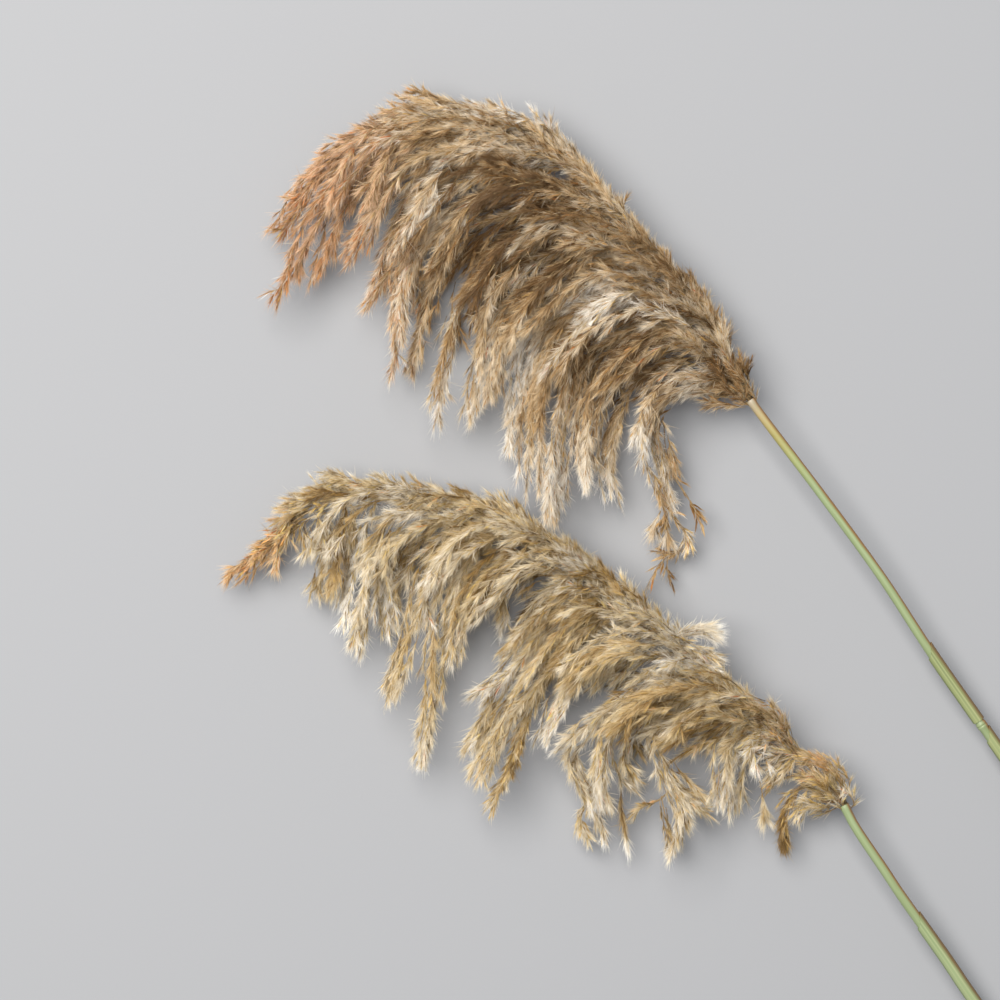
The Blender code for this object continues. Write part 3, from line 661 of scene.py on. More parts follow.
def lay_twigs(line, half_width, style, draw):
    """The twigs of a lock, in a few branchlets: they leave their branchlet one after another and
    splay a little from it. Each station has its place, the middle of the lock beside it and the
    share of the lock's length that it lies at. Also each twig's branchlet."""
    count = max(3, round(TWIGS_PER_CM2 * style.twigs * line.length * half_width / 100))
    branchlets = max(2, round(half_width / BRANCHLET_SPACING))
    mine = draw.integers(0, branchlets, count)
    turn = (math.tau * np.arange(branchlets) / branchlets + draw.normal(0.0, 0.5, branchlets))[mine]
    far = np.sqrt(draw.uniform(0.05, 1.0, branchlets))[mine] * style.spread
    # The spikelets reach on beyond the end of their twig, so the twigs stop short of the lock's tip
    furthest = 1.0 - min(SPIKELET_REACH / line.length, 0.3)
    own_end = furthest - np.abs(draw.normal(0.0, BRANCHLET_SHORTER, branchlets))
    own_end[mine[0]] = furthest
    reach = draw.uniform(*style.reach, count) / line.length
    start = draw.uniform(-0.08, 0.92, count)
    start[0] = 0.7
    end = np.minimum(start + reach, own_end[mine] - np.abs(draw.normal(0.0, 3.0, count)) / line.length)
    end[0] = furthest
    start = np.clip(np.minimum(start, end - SHORTEST_TWIG / line.length), 0.0, 0.95)
    end = np.maximum(end, start + 0.05)
    step = np.linspace(0.0, 1.0, TWIG_STATIONS)
    share = start[:, None] + (end - start)[:, None] * step
    wide = half_width * fullness(share)
    twist = turn[:, None] + draw.normal(0.0, 0.25, count)[:, None] * step
    splay_turn = draw.uniform(0.0, math.tau, count)[:, None]
    splay = style.splay * draw.uniform(*TWIG_SPLAY, count)[:, None] * step ** 1.3
    splay[0] = 0.0
    x = far[:, None] * wide * np.cos(twist) + splay * np.cos(splay_turn)
    y = far[:, None] * wide * np.sin(twist) + splay * np.sin(splay_turn)
    middle = line.at(share * line.length)
    side, upward = across(line.direction(share * line.length))
    wave = draw.normal(0.0, 0.7, (count, TWIG_STATIONS, 3)) * step[:, None]
    places = middle + x[..., None] * side + LOCK_FLATNESS * y[..., None] * upward + wave
    return np.concatenate([places, middle, share[..., None]], axis=2), mine


def along_twigs(stations, style, draw):
    """Where the spikelets of some twigs sit, counted from each twig's tip: place, direction, the way
    out of the lock, the share of the lock's length, which twig and how many places from the tip."""
    lengths = np.linalg.norm(np.diff(stations[..., :3], axis=1), axis=2).sum(axis=1)
    rows = []
    for k in range(int(lengths.max() / style.spacing)):
        back = (k + draw.uniform(-0.3, 0.3, len(stations)) * (k > 0)) * style.spacing
        share = 1.0 - back / lengths
        kept = np.flatnonzero(share > 0.04)
        at = share[kept] * (TWIG_STATIONS - 1)
        low = np.minimum(at.astype(int), TWIG_STATIONS - 2)
        before, after = stations[kept, low], stations[kept, low + 1]
        here = before + (after - before) * (at - low)[:, None]
        rows.append((here[:, :3], unit((after - before)[:, :3]), here[:, :3] - here[:, 3:6], here[:, 6],
                     kept, np.full(len(kept), k)))
    return [np.concatenate(column) for column in zip(*rows)]


def leaned(direction, angle, around):
    """Directions leaned off the given ones by an angle, towards a turn about them."""
    side, upward = across(direction)
    aside = np.cos(around)[:, None] * side + np.sin(around)[:, None] * upward
    return np.cos(angle)[:, None] * direction + np.sin(angle)[:, None] * aside


def filled_between(lines, length, parts):
    """Further locks between neighbouring ones, so that the body of a plume is closed. They run for
    a share of the length, and there are parts - 1 of them to each gap."""
    found = []
    for (line, width), (other, other_width) in zip(lines, lines[1:]):
        shares = np.linspace(0.0, 1.0, 12)
        here, there = line.at(shares * line.length), other.at(shares * other.length)
        group = []
        for i in range(1, parts):
            whole = Line(here + (there - here) * i / parts)
            group.append((Line(whole.at(np.linspace(0.0, length, 8) * whole.length)),
                          width + (other_width - width) * i / parts))
        found.append(group)
    return found


def strands_of(lines, style, look, draw):
    """Twigs, spikelets, hairs and awns of some locks of one plume."""
    tubes, spikelets, hairs, awns = [], [], [], []
    for line, half_width in lines:
        stations, mine = lay_twigs(line, half_width, style, draw)
        tubes.append(stations[..., :3])
        place, direction, outward, far, which, turn = along_twigs(stations, style, draw)
        count = len(place)
        around = 2.4 * turn + draw.uniform(0.0, math.tau, len(stations))[which] + draw.normal(0, 0.4, count)
        angle = np.where(turn == 0, 0.05, style.lean * draw.uniform(*SPIKELET_SPREAD, count))
        along = leaned(direction, angle, around)
        out = unit(unit(outward) + 0.6 * np.array((0.0, 0.0, 1.0)) + draw.normal(0.0, 0.35, (count, 3)))
        length = draw.uniform(*SPIKELET_LENGTH, count)
        bend = draw.normal((0.0, -0.8, -0.5), (0.5, 0.6, 0.5), (count, 3))
        branchlet_tone = draw.normal(0.0, look.variation, mine.max() + 1)[mine]
        tone = (draw.normal(0.0, look.variation, len(stations)) + branchlet_tone)[which] + draw.normal(0.0, 0.04)
        silk = draw.normal(0.0, look.silk_variation, mine.max() + 1)[mine][which]
        silk += style.silvered * smooth_step(SILVERED_FROM, 1.0, far)
        tint = husk_tint(look, place, tone + draw.normal(0.0, 0.06, count), draw.random(count))
        spikelets.append(Strands(place, along, out, length, draw.uniform(*SPIKELET_HALF_WIDTH, count),
                                 bend, tint))
        awned = np.flatnonzero(draw.random(count) < style.awns)
        awn_along = leaned(direction[awned], draw.uniform(*AWN_LEAN, len(awned)), around[awned])
        awns.append(Strands(place[awned] + along[awned] * 3.0, awn_along, out[awned],
                            draw.uniform(*AWN_LENGTH, len(awned)), np.full(len(awned), AWN_HALF_WIDTH),
                            0.5 * bend[awned], np.full(len(awned), AWN_TINT)))
        many = np.repeat(np.arange(count), draw.poisson(style.hairs, count))
        number = len(many)
        foot = place[many] + along[many] * (length[many] * draw.uniform(0.0, 0.6, number))[:, None]
        astray = np.where(draw.random(number) < STRAY_HAIRS, STRAY_HAIR_SPREAD, HAIR_SPREAD)
        hair_along = leaned(along[many], np.abs(draw.normal(0.0, astray)) + 0.03,
                            draw.uniform(0.0, math.tau, number))
        hair_out = unit(out[many] + draw.normal(0.0, 0.4, (number, 3)))
        hair_length = style.hair_length * draw.uniform(0.55, 1.15, number)
        hair_bend = draw.normal((0.0, -0.7, -0.3), 0.8, (number, 3))
        tint = hair_tint(look, place[many], (tone + silk)[many] + draw.normal(0.0, 0.06, number),
                         draw.random(number))
        hairs.append(Strands(foot, hair_along, hair_out, hair_length,
                             np.full(number, HAIR_HALF_WIDTH), hair_bend, tint))
    return tubes, spikelets, hairs, awns


def gathered(groups):
    return Strands(*[np.concatenate(values) for values in zip(*groups)])


def settled(points):
    """Points that would lie low or below the surface, pressed up against it instead."""
    low = points[..., 2] < SETTLING
    pressed = LOWEST_STRAND + (SETTLING - LOWEST_STRAND) * np.exp(
        np.minimum(points[..., 2] - SETTLING, 0.0) / (SETTLING - LOWEST_STRAND))
    points[..., 2] = np.where(low, pressed, points[..., 2])
    return points


def copies(shape, strands, band):
    """A small shape copied to every strand: points, triangles and the strand map of each corner."""
    points, triangles = shape
    side = unit(np.cross(strands.along, strands.facing))
    facing = np.cross(side, strands.along)
    count = len(strands.length)
    x, y, z = points[:, 0], points[:, 1], points[:, 2]
    placed = (strands.start[:, None]
              + (side * strands.half_width[:, None])[:, None] * x[:, None]
              + (strands.along * strands.length[:, None])[:, None] * y[:, None]
              + (facing * strands.half_width[:, None])[:, None] * z[:, None]
              + strands.bend[:, None] * (y ** 2)[:, None])
    faces = triangles[None] + len(points) * np.arange(count)[:, None, None]
    u = band[0] + (band[1] - band[0]) * strands.tint
    corners_u = u[:, None, None] + STRAND_MAP_WIDTH * 0.5 * np.clip(x[triangles], -1, 1)[None]
    corners_v = np.broadcast_to(np.clip(y[triangles], 0.0, 1.0) * 0.98 + 0.01, corners_u.shape)
    uv = np.stack([corners_u, corners_v], axis=-1).reshape(-1, 2)
    return settled(placed).reshape(-1, 3), faces.reshape(-1, 3), uv


def twig_tubes(twigs, radii, tints):
    """Three-sided tapering tubes along rows of stations, closed at both ends."""
    count, stations, _ = twigs.shape
    ahead = np.diff(twigs, axis=1)
    direction = unit(np.concatenate([ahead, ahead[:, -1:]], axis=1))
    side, upward = across(direction)
    radius = np.linspace(radii[0], radii[1], stations)[:, None]
    rings = []
    for corner in range(3):
        angle = math.tau * corner / 3
        rings.append(twigs + radius * (math.cos(angle) * side + math.sin(angle) * upward))
    points = np.stack(rings, axis=2)
    faces, u_side, v_share = [], [], []
    for i in range(stations - 1):
        for j in range(3):
            a, b = 3 * i + j, 3 * i + (j + 1) % 3
            faces += [(a, b, b + 3), (a, b + 3, a + 3)]
            u_side += [(0, 1, 1), (0, 1, 0)]
            v_share += [(i, i, i + 1), (i, i + 1, i + 1)]
    last = 3 * (stations - 1)
    faces += [(0, 2, 1), (last, last + 1, last + 2)]
    u_side += [(0, 1, 0.5), (0, 1, 0.5)]
    v_share += [(0, 0, 0.2), (stations - 1, stations - 1, stations - 1.2)]
    faces = np.array(faces)[None] + 3 * stations * np.arange(count)[:, None, None]
    u = TWIG_BAND[0] + (TWIG_BAND[1] - TWIG_BAND[0]) * tints
    corners_u = u[:, None, None] + STRAND_MAP_WIDTH * (np.array(u_side) - 0.5)[None]
    corners_v = np.broadcast_to(np.array(v_share) / (stations - 1) * 0.98 + 0.01, corners_u.shape)
    uv = np.stack([corners_u, corners_v], axis=-1).reshape(-1, 2)
    return settled(points).reshape(-1, 3), faces.reshape(-1, 3), uv


def joined_piece(name, parts, materials):
    """One object from parts that are each (points, triangles, strand map); one material a part."""
    starts = np.cumsum([0] + [len(points) for points, _, _ in parts])
    points = np.concatenate([points for points, _, _ in parts]) * MM
    faces = np.concatenate([faces + start for (_, faces, _), start in zip(parts, starts)])
    uv = np.concatenate([uv for _, _, uv in parts])
    slots = np.concatenate([np.full(len(faces), i) for i, (_, faces, _) in enumerate(parts)])
    mesh = bpy.data.meshes.new(name)
    mesh.vertices.add(len(points))
    mesh.vertices.foreach_set("co", points.astype(np.float32).ravel())
    mesh.loops.add(faces.size)
    mesh.loops.foreach_set("vertex_index", faces.astype(np.int32).ravel())
    mesh.polygons.add(len(faces))
    mesh.polygons.foreach_set("loop_start", np.arange(0, faces.size, 3, dtype=np.int32))
    for material in materials:
        mesh.materials.append(material)
    mesh.polygons.foreach_set("material_index", slots.astype(np.int32))
    layer = mesh.uv_layers.new(name=PALETTE_MAP)
    layer.uv.foreach_set("vector", uv.astype(np.float32).ravel())
    mesh.update(calc_edges=True)
    mesh.validate()
    piece = bpy.data.objects.new(name, mesh)
    bpy.context.scene.collection.objects.link(piece)
    return piece


class Look(NamedTuple):
    """How a plume is tinted. Spots are rows of x, y, radius and strength; variation is how far tints
    differ from one branchlet to the next."""

    husk_level: float
    hair_level: float
    warm_from: float
    warm_full: float
    rusty: tuple
    silky: tuple
    # spots of painted shade: the strands are darkened where shade falls in the plume's hollows
    painted_shade: tuple
    variation: float
    silk_variation: float
    core_half_width: float
    materials: tuple


def drift(place, spots):
    """How far places lie in any of some round spots, each of x, y, radius and strength."""
    total = np.zeros(len(place))
    for x, y, radius, strength in spots:
        off = np.hypot(place[:, 0] - x, place[:, 1] - y) / radius
        total += strength * np.exp(-off ** 2)
    return total


def warmth(look, place):
    """The share of strands here that have turned orange: those at the tip and in the rusty spots."""
    return np.clip(smooth_step(look.warm_from, look.warm_full, place[:, 0]) + drift(place, look.rusty), 0.0, 1.0)


def shade(look, place):
    """How much painted shade darkens the strands here: deep in the plume and in its hollows."""
    return INNER_PAINTED_SHADE * smooth_step(24.0, 6.0, place[:, 2]) + drift(place, look.painted_shade)


def husk_tint(look, place, tone, chance):
    # painted shade: darker, with tones spread wider, deep in the plume and in its hollows
    painted_shade = shade(look, place)
    body = np.clip(look.husk_level + tone * (1.0 + 1.5 * painted_shade) - painted_shade, 0.02, 0.74)
    rust = np.clip(0.87 + 0.5 * tone, 0.78, 0.98)
    return np.where(chance < np.maximum(0.85 * warmth(look, place), RUST_SPIKELETS), rust, body)


def hair_tint(look, place, tone, chance):
    # painted shade: darker, with tones spread wider, deep in the plume and in its hollows
    painted_shade = shade(look, place)
    body = look.hair_level + tone * (1.0 + 1.5 * painted_shade) + drift(place, look.silky) - painted_shade
    peach = np.clip(0.06 + 0.4 * tone, 0.01, 0.15)
    return np.where(chance < 0.85 * warmth(look, place), peach, np.clip(body, 0.26, 0.98))


# Rusty and silky spots of each plume, and its spots of painted shade where shade falls in its hollows
REED_1_SILKY = ((-12, 152, 11, 0.26), (-85, 225, 26, 0.28), (-130, 185, 22, 0.28), (-190, 280, 18, 0.22),
                (-130, 105, 26, 0.16), (-100, 90, 22, 0.10), (-150, 345, 44, 0.14), (-50, 90, 20, 0.06))
REED_1_PAINTED_SHADE = ((-155, 296, 36, 0.22), (-150, 262, 26, 0.22), (-105, 240, 20, 0.26), (-60, 190, 36, 0.16),
                 (-40, 165, 18, 0.22), (-165, 225, 24, 0.16), (-95, 180, 24, 0.12), (8, 166, 24, 0.14),
                 (-112, 275, 22, 0.14))
REED_2_RUSTY = ((76, -106, 11, 0.8), (50, -84, 14, 0.6), (34, -62, 10, 0.3))
REED_2_SILKY = ((35, -106, 12, 0.25), (-63, -150, 8, 0.10), (-215, 15, 26, 0.20), (-180, -15, 24, 0.06),
                (-140, -50, 30, 0.12), (-30, -30, 20, 0.20), (0, -110, 22, 0.04),
                (-10, -13, 13, 0.20), (-250, 45, 30, 0.04))
REED_2_PAINTED_SHADE = ((-115, 30, 16, 0.12), (-78, 16, 14, 0.10), (-100, -36, 18, 0.10), (-18, -64, 14, 0.14),
                 (8, -78, 12, 0.14), (-150, 20, 18, 0.08), (-30, -140, 34, 0.20), (-95, -140, 20, 0.14),
                 (52, -148, 20, 0.10), (-145, -112, 16, 0.12), (-195, -60, 30, 0.06))


SHAPES = {}


def plume_piece(name, node, axis, radii, span, groups, sprigs, look, draw):
    """One stretch of a plume: its locks, its loose ends and the stretch of rachis they grow from."""
    batches = []
    if look.core_half_width and span[1] > REED_2_WHORL_END:
        core = Line(axis.at(np.linspace(max(span[0], 0.015), min(span[1] + 0.03, 1.0), 14) * axis.length))
        batches.append(([(core, look.core_half_width)], CORE))
    for locks, style, filling in groups:
        pressed = CREST_PRESSED if style is CREST else 0.0
        lines = [(lock_line(axis, lock, pressed), lock.half_width) for lock in sorted(locks)]
        inside = [span[0] <= lock.root < span[1] for lock in sorted(locks)]
        batches.append(([line for line, here in zip(lines, inside) if here], style))
        if filling:
            filling_style, length, parts = filling
            between = filled_between(lines, length, parts)
            batches.append(([line for group, here in zip(between, inside) if here for line in group],
                            filling_style))
    loose_lines = [Line(sprig.places) for loose, _ in sprigs for sprig in loose]
    batches += [([(Line(sprig.places), sprig.half_width) for sprig in loose], style)
                for loose, style in sprigs]
    tubes, spikelets, hairs, awns = [], [], [], []
    for batch, style in batches:
        for store, added in zip((tubes, spikelets, hairs, awns), strands_of(batch, style, look, draw)):
            store.extend(added)
    twigs = np.concatenate(tubes)
    stretch = np.linspace(max(span[0], 0.0), min(span[1], 1.0), TWIG_STATIONS * 2)
    spine = axis.at(stretch * axis.length)[None]
    thickness = [radii[0] + (radii[1] - radii[0]) * share for share in (stretch[0], stretch[-1])]
    husk, hair = look.materials
    parts = [copies(SHAPES["spikelet"], gathered(spikelets), HUSK_BAND),
             copies(SHAPES["hair"], gathered(hairs), HAIR_BAND),
             copies(SHAPES["hair"], gathered(awns), HUSK_BAND),
             twig_tubes(twigs, TWIG_RADII, draw.uniform(0.1, 0.9, len(twigs))),
             twig_tubes(spine, thickness, np.array([0.6]))]
    if loose_lines:
        stalks = [line.at(np.linspace(0.0, 0.97, STALK_STATIONS) * line.length) for line in loose_lines]
        parts.append(twig_tubes(np.array(stalks), STALK_RADII, draw.uniform(0.1, 0.7, len(stalks))))
    piece = joined_piece(name, parts, [husk, hair, husk, TWIG, TWIG, TWIG][:len(parts)])
    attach(piece, "root")
    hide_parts(node)


def make_spikelet():
    husks = unit_spikelet()
    bpy.ops.object.select_all(action="DESELECT")
    for husk in husks:
        husk.select_set(True)
    bpy.context.view_layer.objects.active = husks[0]
    bpy.ops.object.join()
    return read_unit(husks[0])


def make_hair():
    bpy.ops.object.select_all(action="DESELECT")
    bpy.ops.mesh.primitive_circle_add(vertices=3, radius=1.0, fill_type="NGON", location=(0, 0, 0))
    bpy.ops.object.mode_set(mode="EDIT")
    pick(lambda co: co.y < 0.5)
    bpy.ops.transform.resize(value=(1.1547, 0.0, 1.0), center_override=(0, 0, 0))
    bpy.ops.object.mode_set(mode="OBJECT")
    return read_unit(bpy.context.object)


STEM_SIDES = 24


def stem_curve(name, line):
    """The line of a stem as a curve object to bend a straight stem along."""
    count = 90
    points = line.at(np.linspace(0.0, line.length, count)) * MM
    data = bpy.data.curves.new(name, "CURVE")
    data.dimensions = "3D"
    data.twist_mode = "Z_UP"
    spline = data.splines.new("POLY")
    spline.points.add(count - 1)
    for point, place in zip(spline.points, points):
        point.co = (*place, 1.0)
    curve = bpy.data.objects.new(name, data)
    bpy.context.scene.collection.objects.link(curve)
    return curve


def straight_tube(name, stations, sides=STEM_SIDES, inner=None, slant=0.0, slant_reach=1.0):
    """A straight tube along X, one ring a station of (distance, radius).

    inner closes the far end with a bore of (radius, depth); without it both ends are closed."""
    first, last = stations[0][0], stations[-1][0]
    bpy.ops.object.select_all(action="DESELECT")
    bpy.ops.mesh.primitive_circle_add(vertices=sides, radius=stations[0][1] * MM, fill_type="NGON",
                                      location=(first * MM, 0, 0), rotation=(0, math.pi / 2, 0))
    piece = bpy.context.object
    piece.name = name
    piece.data.name = name
    bpy.ops.object.transform_apply(location=True, rotation=True, scale=True)
    bpy.ops.object.mode_set(mode="EDIT")
    bpy.ops.mesh.select_mode(type="VERT")
    bpy.ops.mesh.select_all(action="SELECT")
    walls = [(stations[i], stations[i + 1]) for i in range(len(stations) - 1)]
    for (here, radius), (there, next_radius) in walls:
        bpy.ops.mesh.extrude_region_move(TRANSFORM_OT_translate={"value": ((there - here) * MM, 0, 0)})
        share = next_radius / radius
        if abs(share - 1.0) > 1e-6:
            bpy.ops.transform.resize(value=(1.0, share, share), center_override=(there * MM, 0, 0))
    if inner:
        bore, depth = inner
        share = bore / stations[-1][1]
        bpy.ops.mesh.extrude_region_move(TRANSFORM_OT_translate={"value": (0, 0, 0)})
        bpy.ops.transform.resize(value=(1.0, share, share), center_override=(last * MM, 0, 0))
        bpy.ops.mesh.extrude_region_move(TRANSFORM_OT_translate={"value": (-depth * MM, 0, 0)})
    bpy.ops.mesh.select_all(action="SELECT")
    bpy.ops.mesh.normals_make_consistent(inside=False)
    bpy.ops.object.mode_set(mode="OBJECT")
    return piece


def map_skin(piece, skin_start):
    """Maps a straight tube's skin: U round it and V along it from a start, both in metres."""
    mesh = piece.data
    while mesh.uv_layers:
        mesh.uv_layers.remove(mesh.uv_layers[0])
    layer = mesh.uv_layers.new(name="along_the_stem")
    around = SKIN_AROUND * MM
    for face in mesh.polygons:
        middle = face.center
        turn = math.atan2(middle.y, middle.z) / math.tau + 0.5
        for loop in face.loop_indices:
            co = mesh.vertices[mesh.loops[loop].vertex_index].co
            own = math.atan2(co.y, co.z) / math.tau + 0.5
            if own - turn > 0.5:
                own -= 1.0
            elif turn - own > 0.5:
                own += 1.0
            layer.uv[loop].vector = (own * around, co.x + skin_start)


def bent_along(piece, curve, material, node):
    bend = piece.modifiers.new("bend along the stem", "CURVE")
    bend.object = curve
    bend.deform_axis = "POS_X"
    bpy.ops.object.select_all(action="DESELECT")
    bpy.context.view_layer.objects.active = piece
    piece.select_set(True)
    bpy.ops.object.modifier_apply(modifier=bend.name)
    piece.data.materials.clear()
    piece.data.materials.append(material)
    bpy.ops.object.shade_smooth_by_angle(angle=math.radians(40))
    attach(piece, "root")
    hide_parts(node)
    return piece


def culm_stations(length, radii, nodes, draw):
    def radius(distance):
        return radii[0] + (radii[1] - radii[0]) * distance / length

    stations = {0.0: 0.0, 1.0: 0.25, 3.0: 0.25, 4.5: 0.0, length: 0.0}
    for node in nodes:
        for offset, swell in ((-2.5, 0.0), (-1.6, 0.4), (-0.5, 0.5), (0.0, 0.15), (0.5, 0.5), (1.6, 0.4),
                              (2.5, 0.0)):
            stations[node + offset] = swell
    stops = sorted(stations)
    for before, after in zip(stops, stops[1:]):
        count = max(1, round((after - before) / 9.0))
        for i in range(1, count):
            stations[before + (after - before) * i / count] = float(draw.normal(0.0, 0.02))
    return [(distance, radius(distance) + swell) for distance, swell in sorted(stations.items())]


def stem(prefix, places, radii, nodes, sheaths, sheath_look, skin_start, draw):
    line = Line(places)
    curve = stem_curve(prefix + "_line", line)
    tube = straight_tube(prefix + "_stem", culm_stations(line.length, radii, nodes, draw),
                         inner=(radii[1] - 0.9, 22.0))
    map_skin(tube, skin_start)
    bent_along(tube, curve, CULM, prefix + "_culm")
    for label, (start, end) in sheaths.items():
        node = prefix + ("_sheath" if label == "only" else f"_{label}_sheath")
        inside = [radii[0] + (radii[1] - radii[0]) * d / line.length + 0.35 for d in (start, end)]
        count = max(2, round((end - start) / 9.0))
        stations = [(start + (end - start) * i / count, inside[0] + (inside[1] - inside[0]) * i / count + 0.6)
                    for i in range(count + 1)]
        sleeve = straight_tube(node + "_leaf", stations)
        bpy.ops.object.mode_set(mode="EDIT")
        bpy.ops.mesh.select_mode(type="FACE")
        bpy.ops.mesh.select_all(action="DESELECT")
        mesh = bmesh.from_edit_mesh(sleeve.data)
        for face in mesh.faces:
            face.select_set(abs(face.normal.x) > 0.9)
        bmesh.update_edit_mesh(sleeve.data)
        bpy.ops.mesh.delete(type="FACE")
        pick(lambda co: abs(co.x - start * MM) < 1e-5)
        mesh = bmesh.from_edit_mesh(sleeve.data)
        for vert in mesh.verts:
            if abs(vert.co.x - start * MM) < 1e-5:
                vert.co.x -= 4.5 * MM * vert.co.y / (inside[0] * MM)
        bmesh.update_edit_mesh(sleeve.data)
        bpy.ops.object.mode_set(mode="OBJECT")
        wall = sleeve.modifiers.new("wall", "SOLIDIFY")
        wall.thickness = 0.6 * MM
        wall.offset = -1.0
        bpy.ops.object.modifier_apply(modifier=wall.name)
        map_skin(sleeve, skin_start)
        bent_along(sleeve, curve, sheath_look, node)
    bpy.data.objects.remove(curve)


TAN_DOWN = (strand_material("papery_tan_husk", HUSK_BAND, TAN_HUSK_TINTS, "#9d8d79", "#fff8ea", 0.36, 0.75),
            strand_material("silky_tan_hair", HAIR_BAND, TAN_HAIR_TINTS, "#c2b5a1", "#ffffff", 0.5, 0.6))
STRAW_DOWN = (strand_material("papery_straw_husk", HUSK_BAND, STRAW_HUSK_TINTS, "#9d8d79", "#fff8ea", 0.36, 0.75),
              strand_material("silky_straw_hair", HAIR_BAND, STRAW_HAIR_TINTS, "#c2b5a1", "#ffffff", 0.5, 0.6))
TWIG = strand_material("dry_reed_twig", TWIG_BAND, TWIG_TINTS, "#ffffff", "#ffffff", 0.0, 0.6)
CULM = culm_material()
OLIVE_SHEATH = sheath_material("dry_olive_leaf_sheath", ((0.30, "#566039"), (0.48, "#6f784d"), (0.62, "#7c855a"),
                                                         (0.80, "#8e8e66")))
GREEN_SHEATH = sheath_material("dry_green_leaf_sheath", ((0.30, "#64724e"), (0.48, "#74825b"), (0.62, "#7e8b65"),
                                                         (0.80, "#8d916c")))
REED_1_LOOK = Look(husk_level=0.50, hair_level=0.565, warm_from=-190.0, warm_full=-275.0, rusty=(),
                   silky=REED_1_SILKY, painted_shade=REED_1_PAINTED_SHADE, variation=0.08, silk_variation=0.09,
                   core_half_width=6.0, materials=TAN_DOWN)
REED_2_LOOK = Look(husk_level=0.58, hair_level=0.60, warm_from=-285.0, warm_full=-325.0,
                   rusty=REED_2_RUSTY, silky=REED_2_SILKY, painted_shade=REED_2_PAINTED_SHADE, variation=0.07,
                   silk_variation=0.09, core_half_width=6.0, materials=STRAW_DOWN)
SHAPES["spikelet"] = make_spikelet()
SHAPES["hair"] = make_hair()

draw = np.random.default_rng(20)
stem("reed_1", REED_1_CULM, REED_1_CULM_RADII, REED_1_NODES, REED_1_SHEATHS, OLIVE_SHEATH, 0.0, draw)
stem("reed_2", REED_2_CULM, REED_2_CULM_RADII, REED_2_NODES, REED_2_SHEATHS, GREEN_SHEATH, 0.14, draw)

axis_1, axis_2 = Line(REED_1_RACHIS), Line(REED_2_RACHIS)
BODY_FILLING = (FILLING, 0.55, 2)
BAND_FILLING = (CREST_FILLING, 0.95, 3)
groups_1 = ((REED_1_HANGING_LOCKS, HANGING, BODY_FILLING), (REED_1_CREST_LOCKS, CREST, BAND_FILLING),
            (REED_1_FRONT_LOCKS, FRONT, BODY_FILLING), (REED_1_BACK_LOCKS, BACK, (BACK, 1.0, 2)))
groups_2 = ((REED_2_HANGING_LOCKS, HANGING, BODY_FILLING), (REED_2_CREST_LOCKS, CREST, BAND_FILLING),
            (REED_2_FRONT_LOCKS, FRONT, BODY_FILLING), (REED_2_BACK_LOCKS, BACK, (BACK, 0.7, 2)),
            (REED_2_TWIGS, TASSEL, None))
for label, span, sprigs in (("base", (0.0, 0.155), ((REED_1_NECK, NECK), (REED_1_HOOK, TASSEL),
                                                    (REED_1_HOOK_HAIRS, FILAMENT), (REED_1_HOOK_ENDS, BARE))),
                            ("middle", (0.155, 0.38), ()), ("tip", (0.38, 1.01), ())):
    plume_piece(f"reed_1_plume_{label}", "reed_1_plume", axis_1, REED_1_RACHIS_RADII, span,
                groups_1, sprigs, REED_1_LOOK, draw)
for label, span, sprigs in (("base", (0.087, 0.29), ((REED_2_NECK, NECK), (REED_2_TUFT, TASSEL),
                                                     (REED_2_TUFT_HAIRS, FILAMENT), (REED_2_TASSELS, TASSEL),
                                                     (REED_2_FILAMENTS, FILAMENT))),
                            ("middle", (0.29, 0.52), ()), ("tip", (0.52, 1.01), ((REED_2_SPIKE, SPIKE),))):
    plume_piece(f"reed_2_plume_{label}", "reed_2_plume", axis_2, REED_2_RACHIS_RADII, span,
                groups_2, sprigs, REED_2_LOOK, draw)
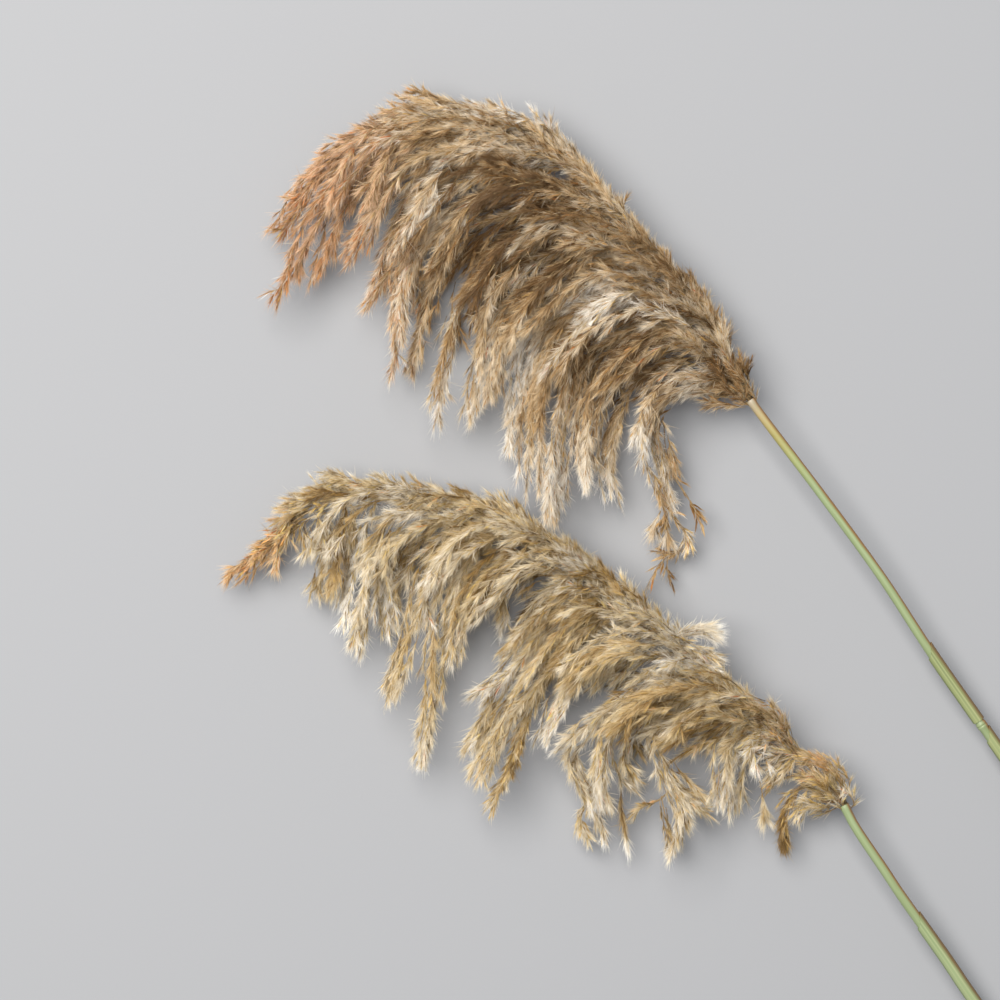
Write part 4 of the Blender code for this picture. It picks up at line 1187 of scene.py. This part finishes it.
plume_piece("reed_2_whorl", "reed_2_lowest_whorl", axis_2, REED_2_RACHIS_RADII,
            (0.0, REED_2_WHORL_END), (), ((REED_2_WHORL_LOCKS, NECK), (REED_2_WHORL_TWIGS, BARE)),
            REED_2_LOOK, draw)


def floor():
    bpy.ops.object.select_all(action="DESELECT")
    bpy.ops.mesh.primitive_plane_add(size=8.0, location=(VIEW_CENTRE[0] * MM, VIEW_CENTRE[1] * MM, 0.0))
    ground = bpy.context.object
    ground.name = "floor"
    bpy.ops.object.transform_apply(location=True, rotation=True, scale=True)
    material, tree = bare_material("matt_pale_grey_board")
    surface = add(tree, "BsdfPrincipled", {"Base Color": from_hex("#898b8f"), "Roughness": 0.95,
                                           "Specular IOR Level": 0.1})
    add(tree, "OutputMaterial", {"Surface": surface.outputs[0]})
    ground.data.materials.append(material)


def lamp(name, place, size, watts, colour):
    data = bpy.data.lights.new(name, "AREA")
    data.shape = "DISK"
    data.size = size
    data.energy = watts
    data.color = from_hex(colour)[:3]
    light = bpy.data.objects.new(name, data)
    light.location = place
    target = Vector((VIEW_CENTRE[0] * MM, VIEW_CENTRE[1] * MM, 0.0))
    light.rotation_euler = (target - light.location).to_track_quat("-Z", "Y").to_euler()
    bpy.context.scene.collection.objects.link(light)
    return light


def camera():
    data = bpy.data.cameras.new("camera")
    data.sensor_width = SENSOR
    data.lens = SENSOR * (VIEW_HEIGHT - VIEW_FOCUS_HEIGHT) / VIEW_FIELD
    data.clip_end = 50.0
    made = bpy.data.objects.new("camera", data)
    made.location = (VIEW_CENTRE[0] * MM, VIEW_CENTRE[1] * MM, VIEW_HEIGHT * MM)
    bpy.context.scene.collection.objects.link(made)
    bpy.context.scene.camera = made


def sky():
    world = bpy.data.worlds.new("studio")
    world.use_nodes = True
    backdrop = world.node_tree.nodes["Background"]
    backdrop.inputs["Color"].default_value = from_hex("#e6ebf5")
    backdrop.inputs["Strength"].default_value = 0.45
    bpy.context.scene.world = world


floor()
camera()
sky()
lamp("window", (-1.15, 0.98, 3.1), 3.4, 302.0, "#fffaf2")
bpy.context.scene.view_settings.view_transform = "Standard"
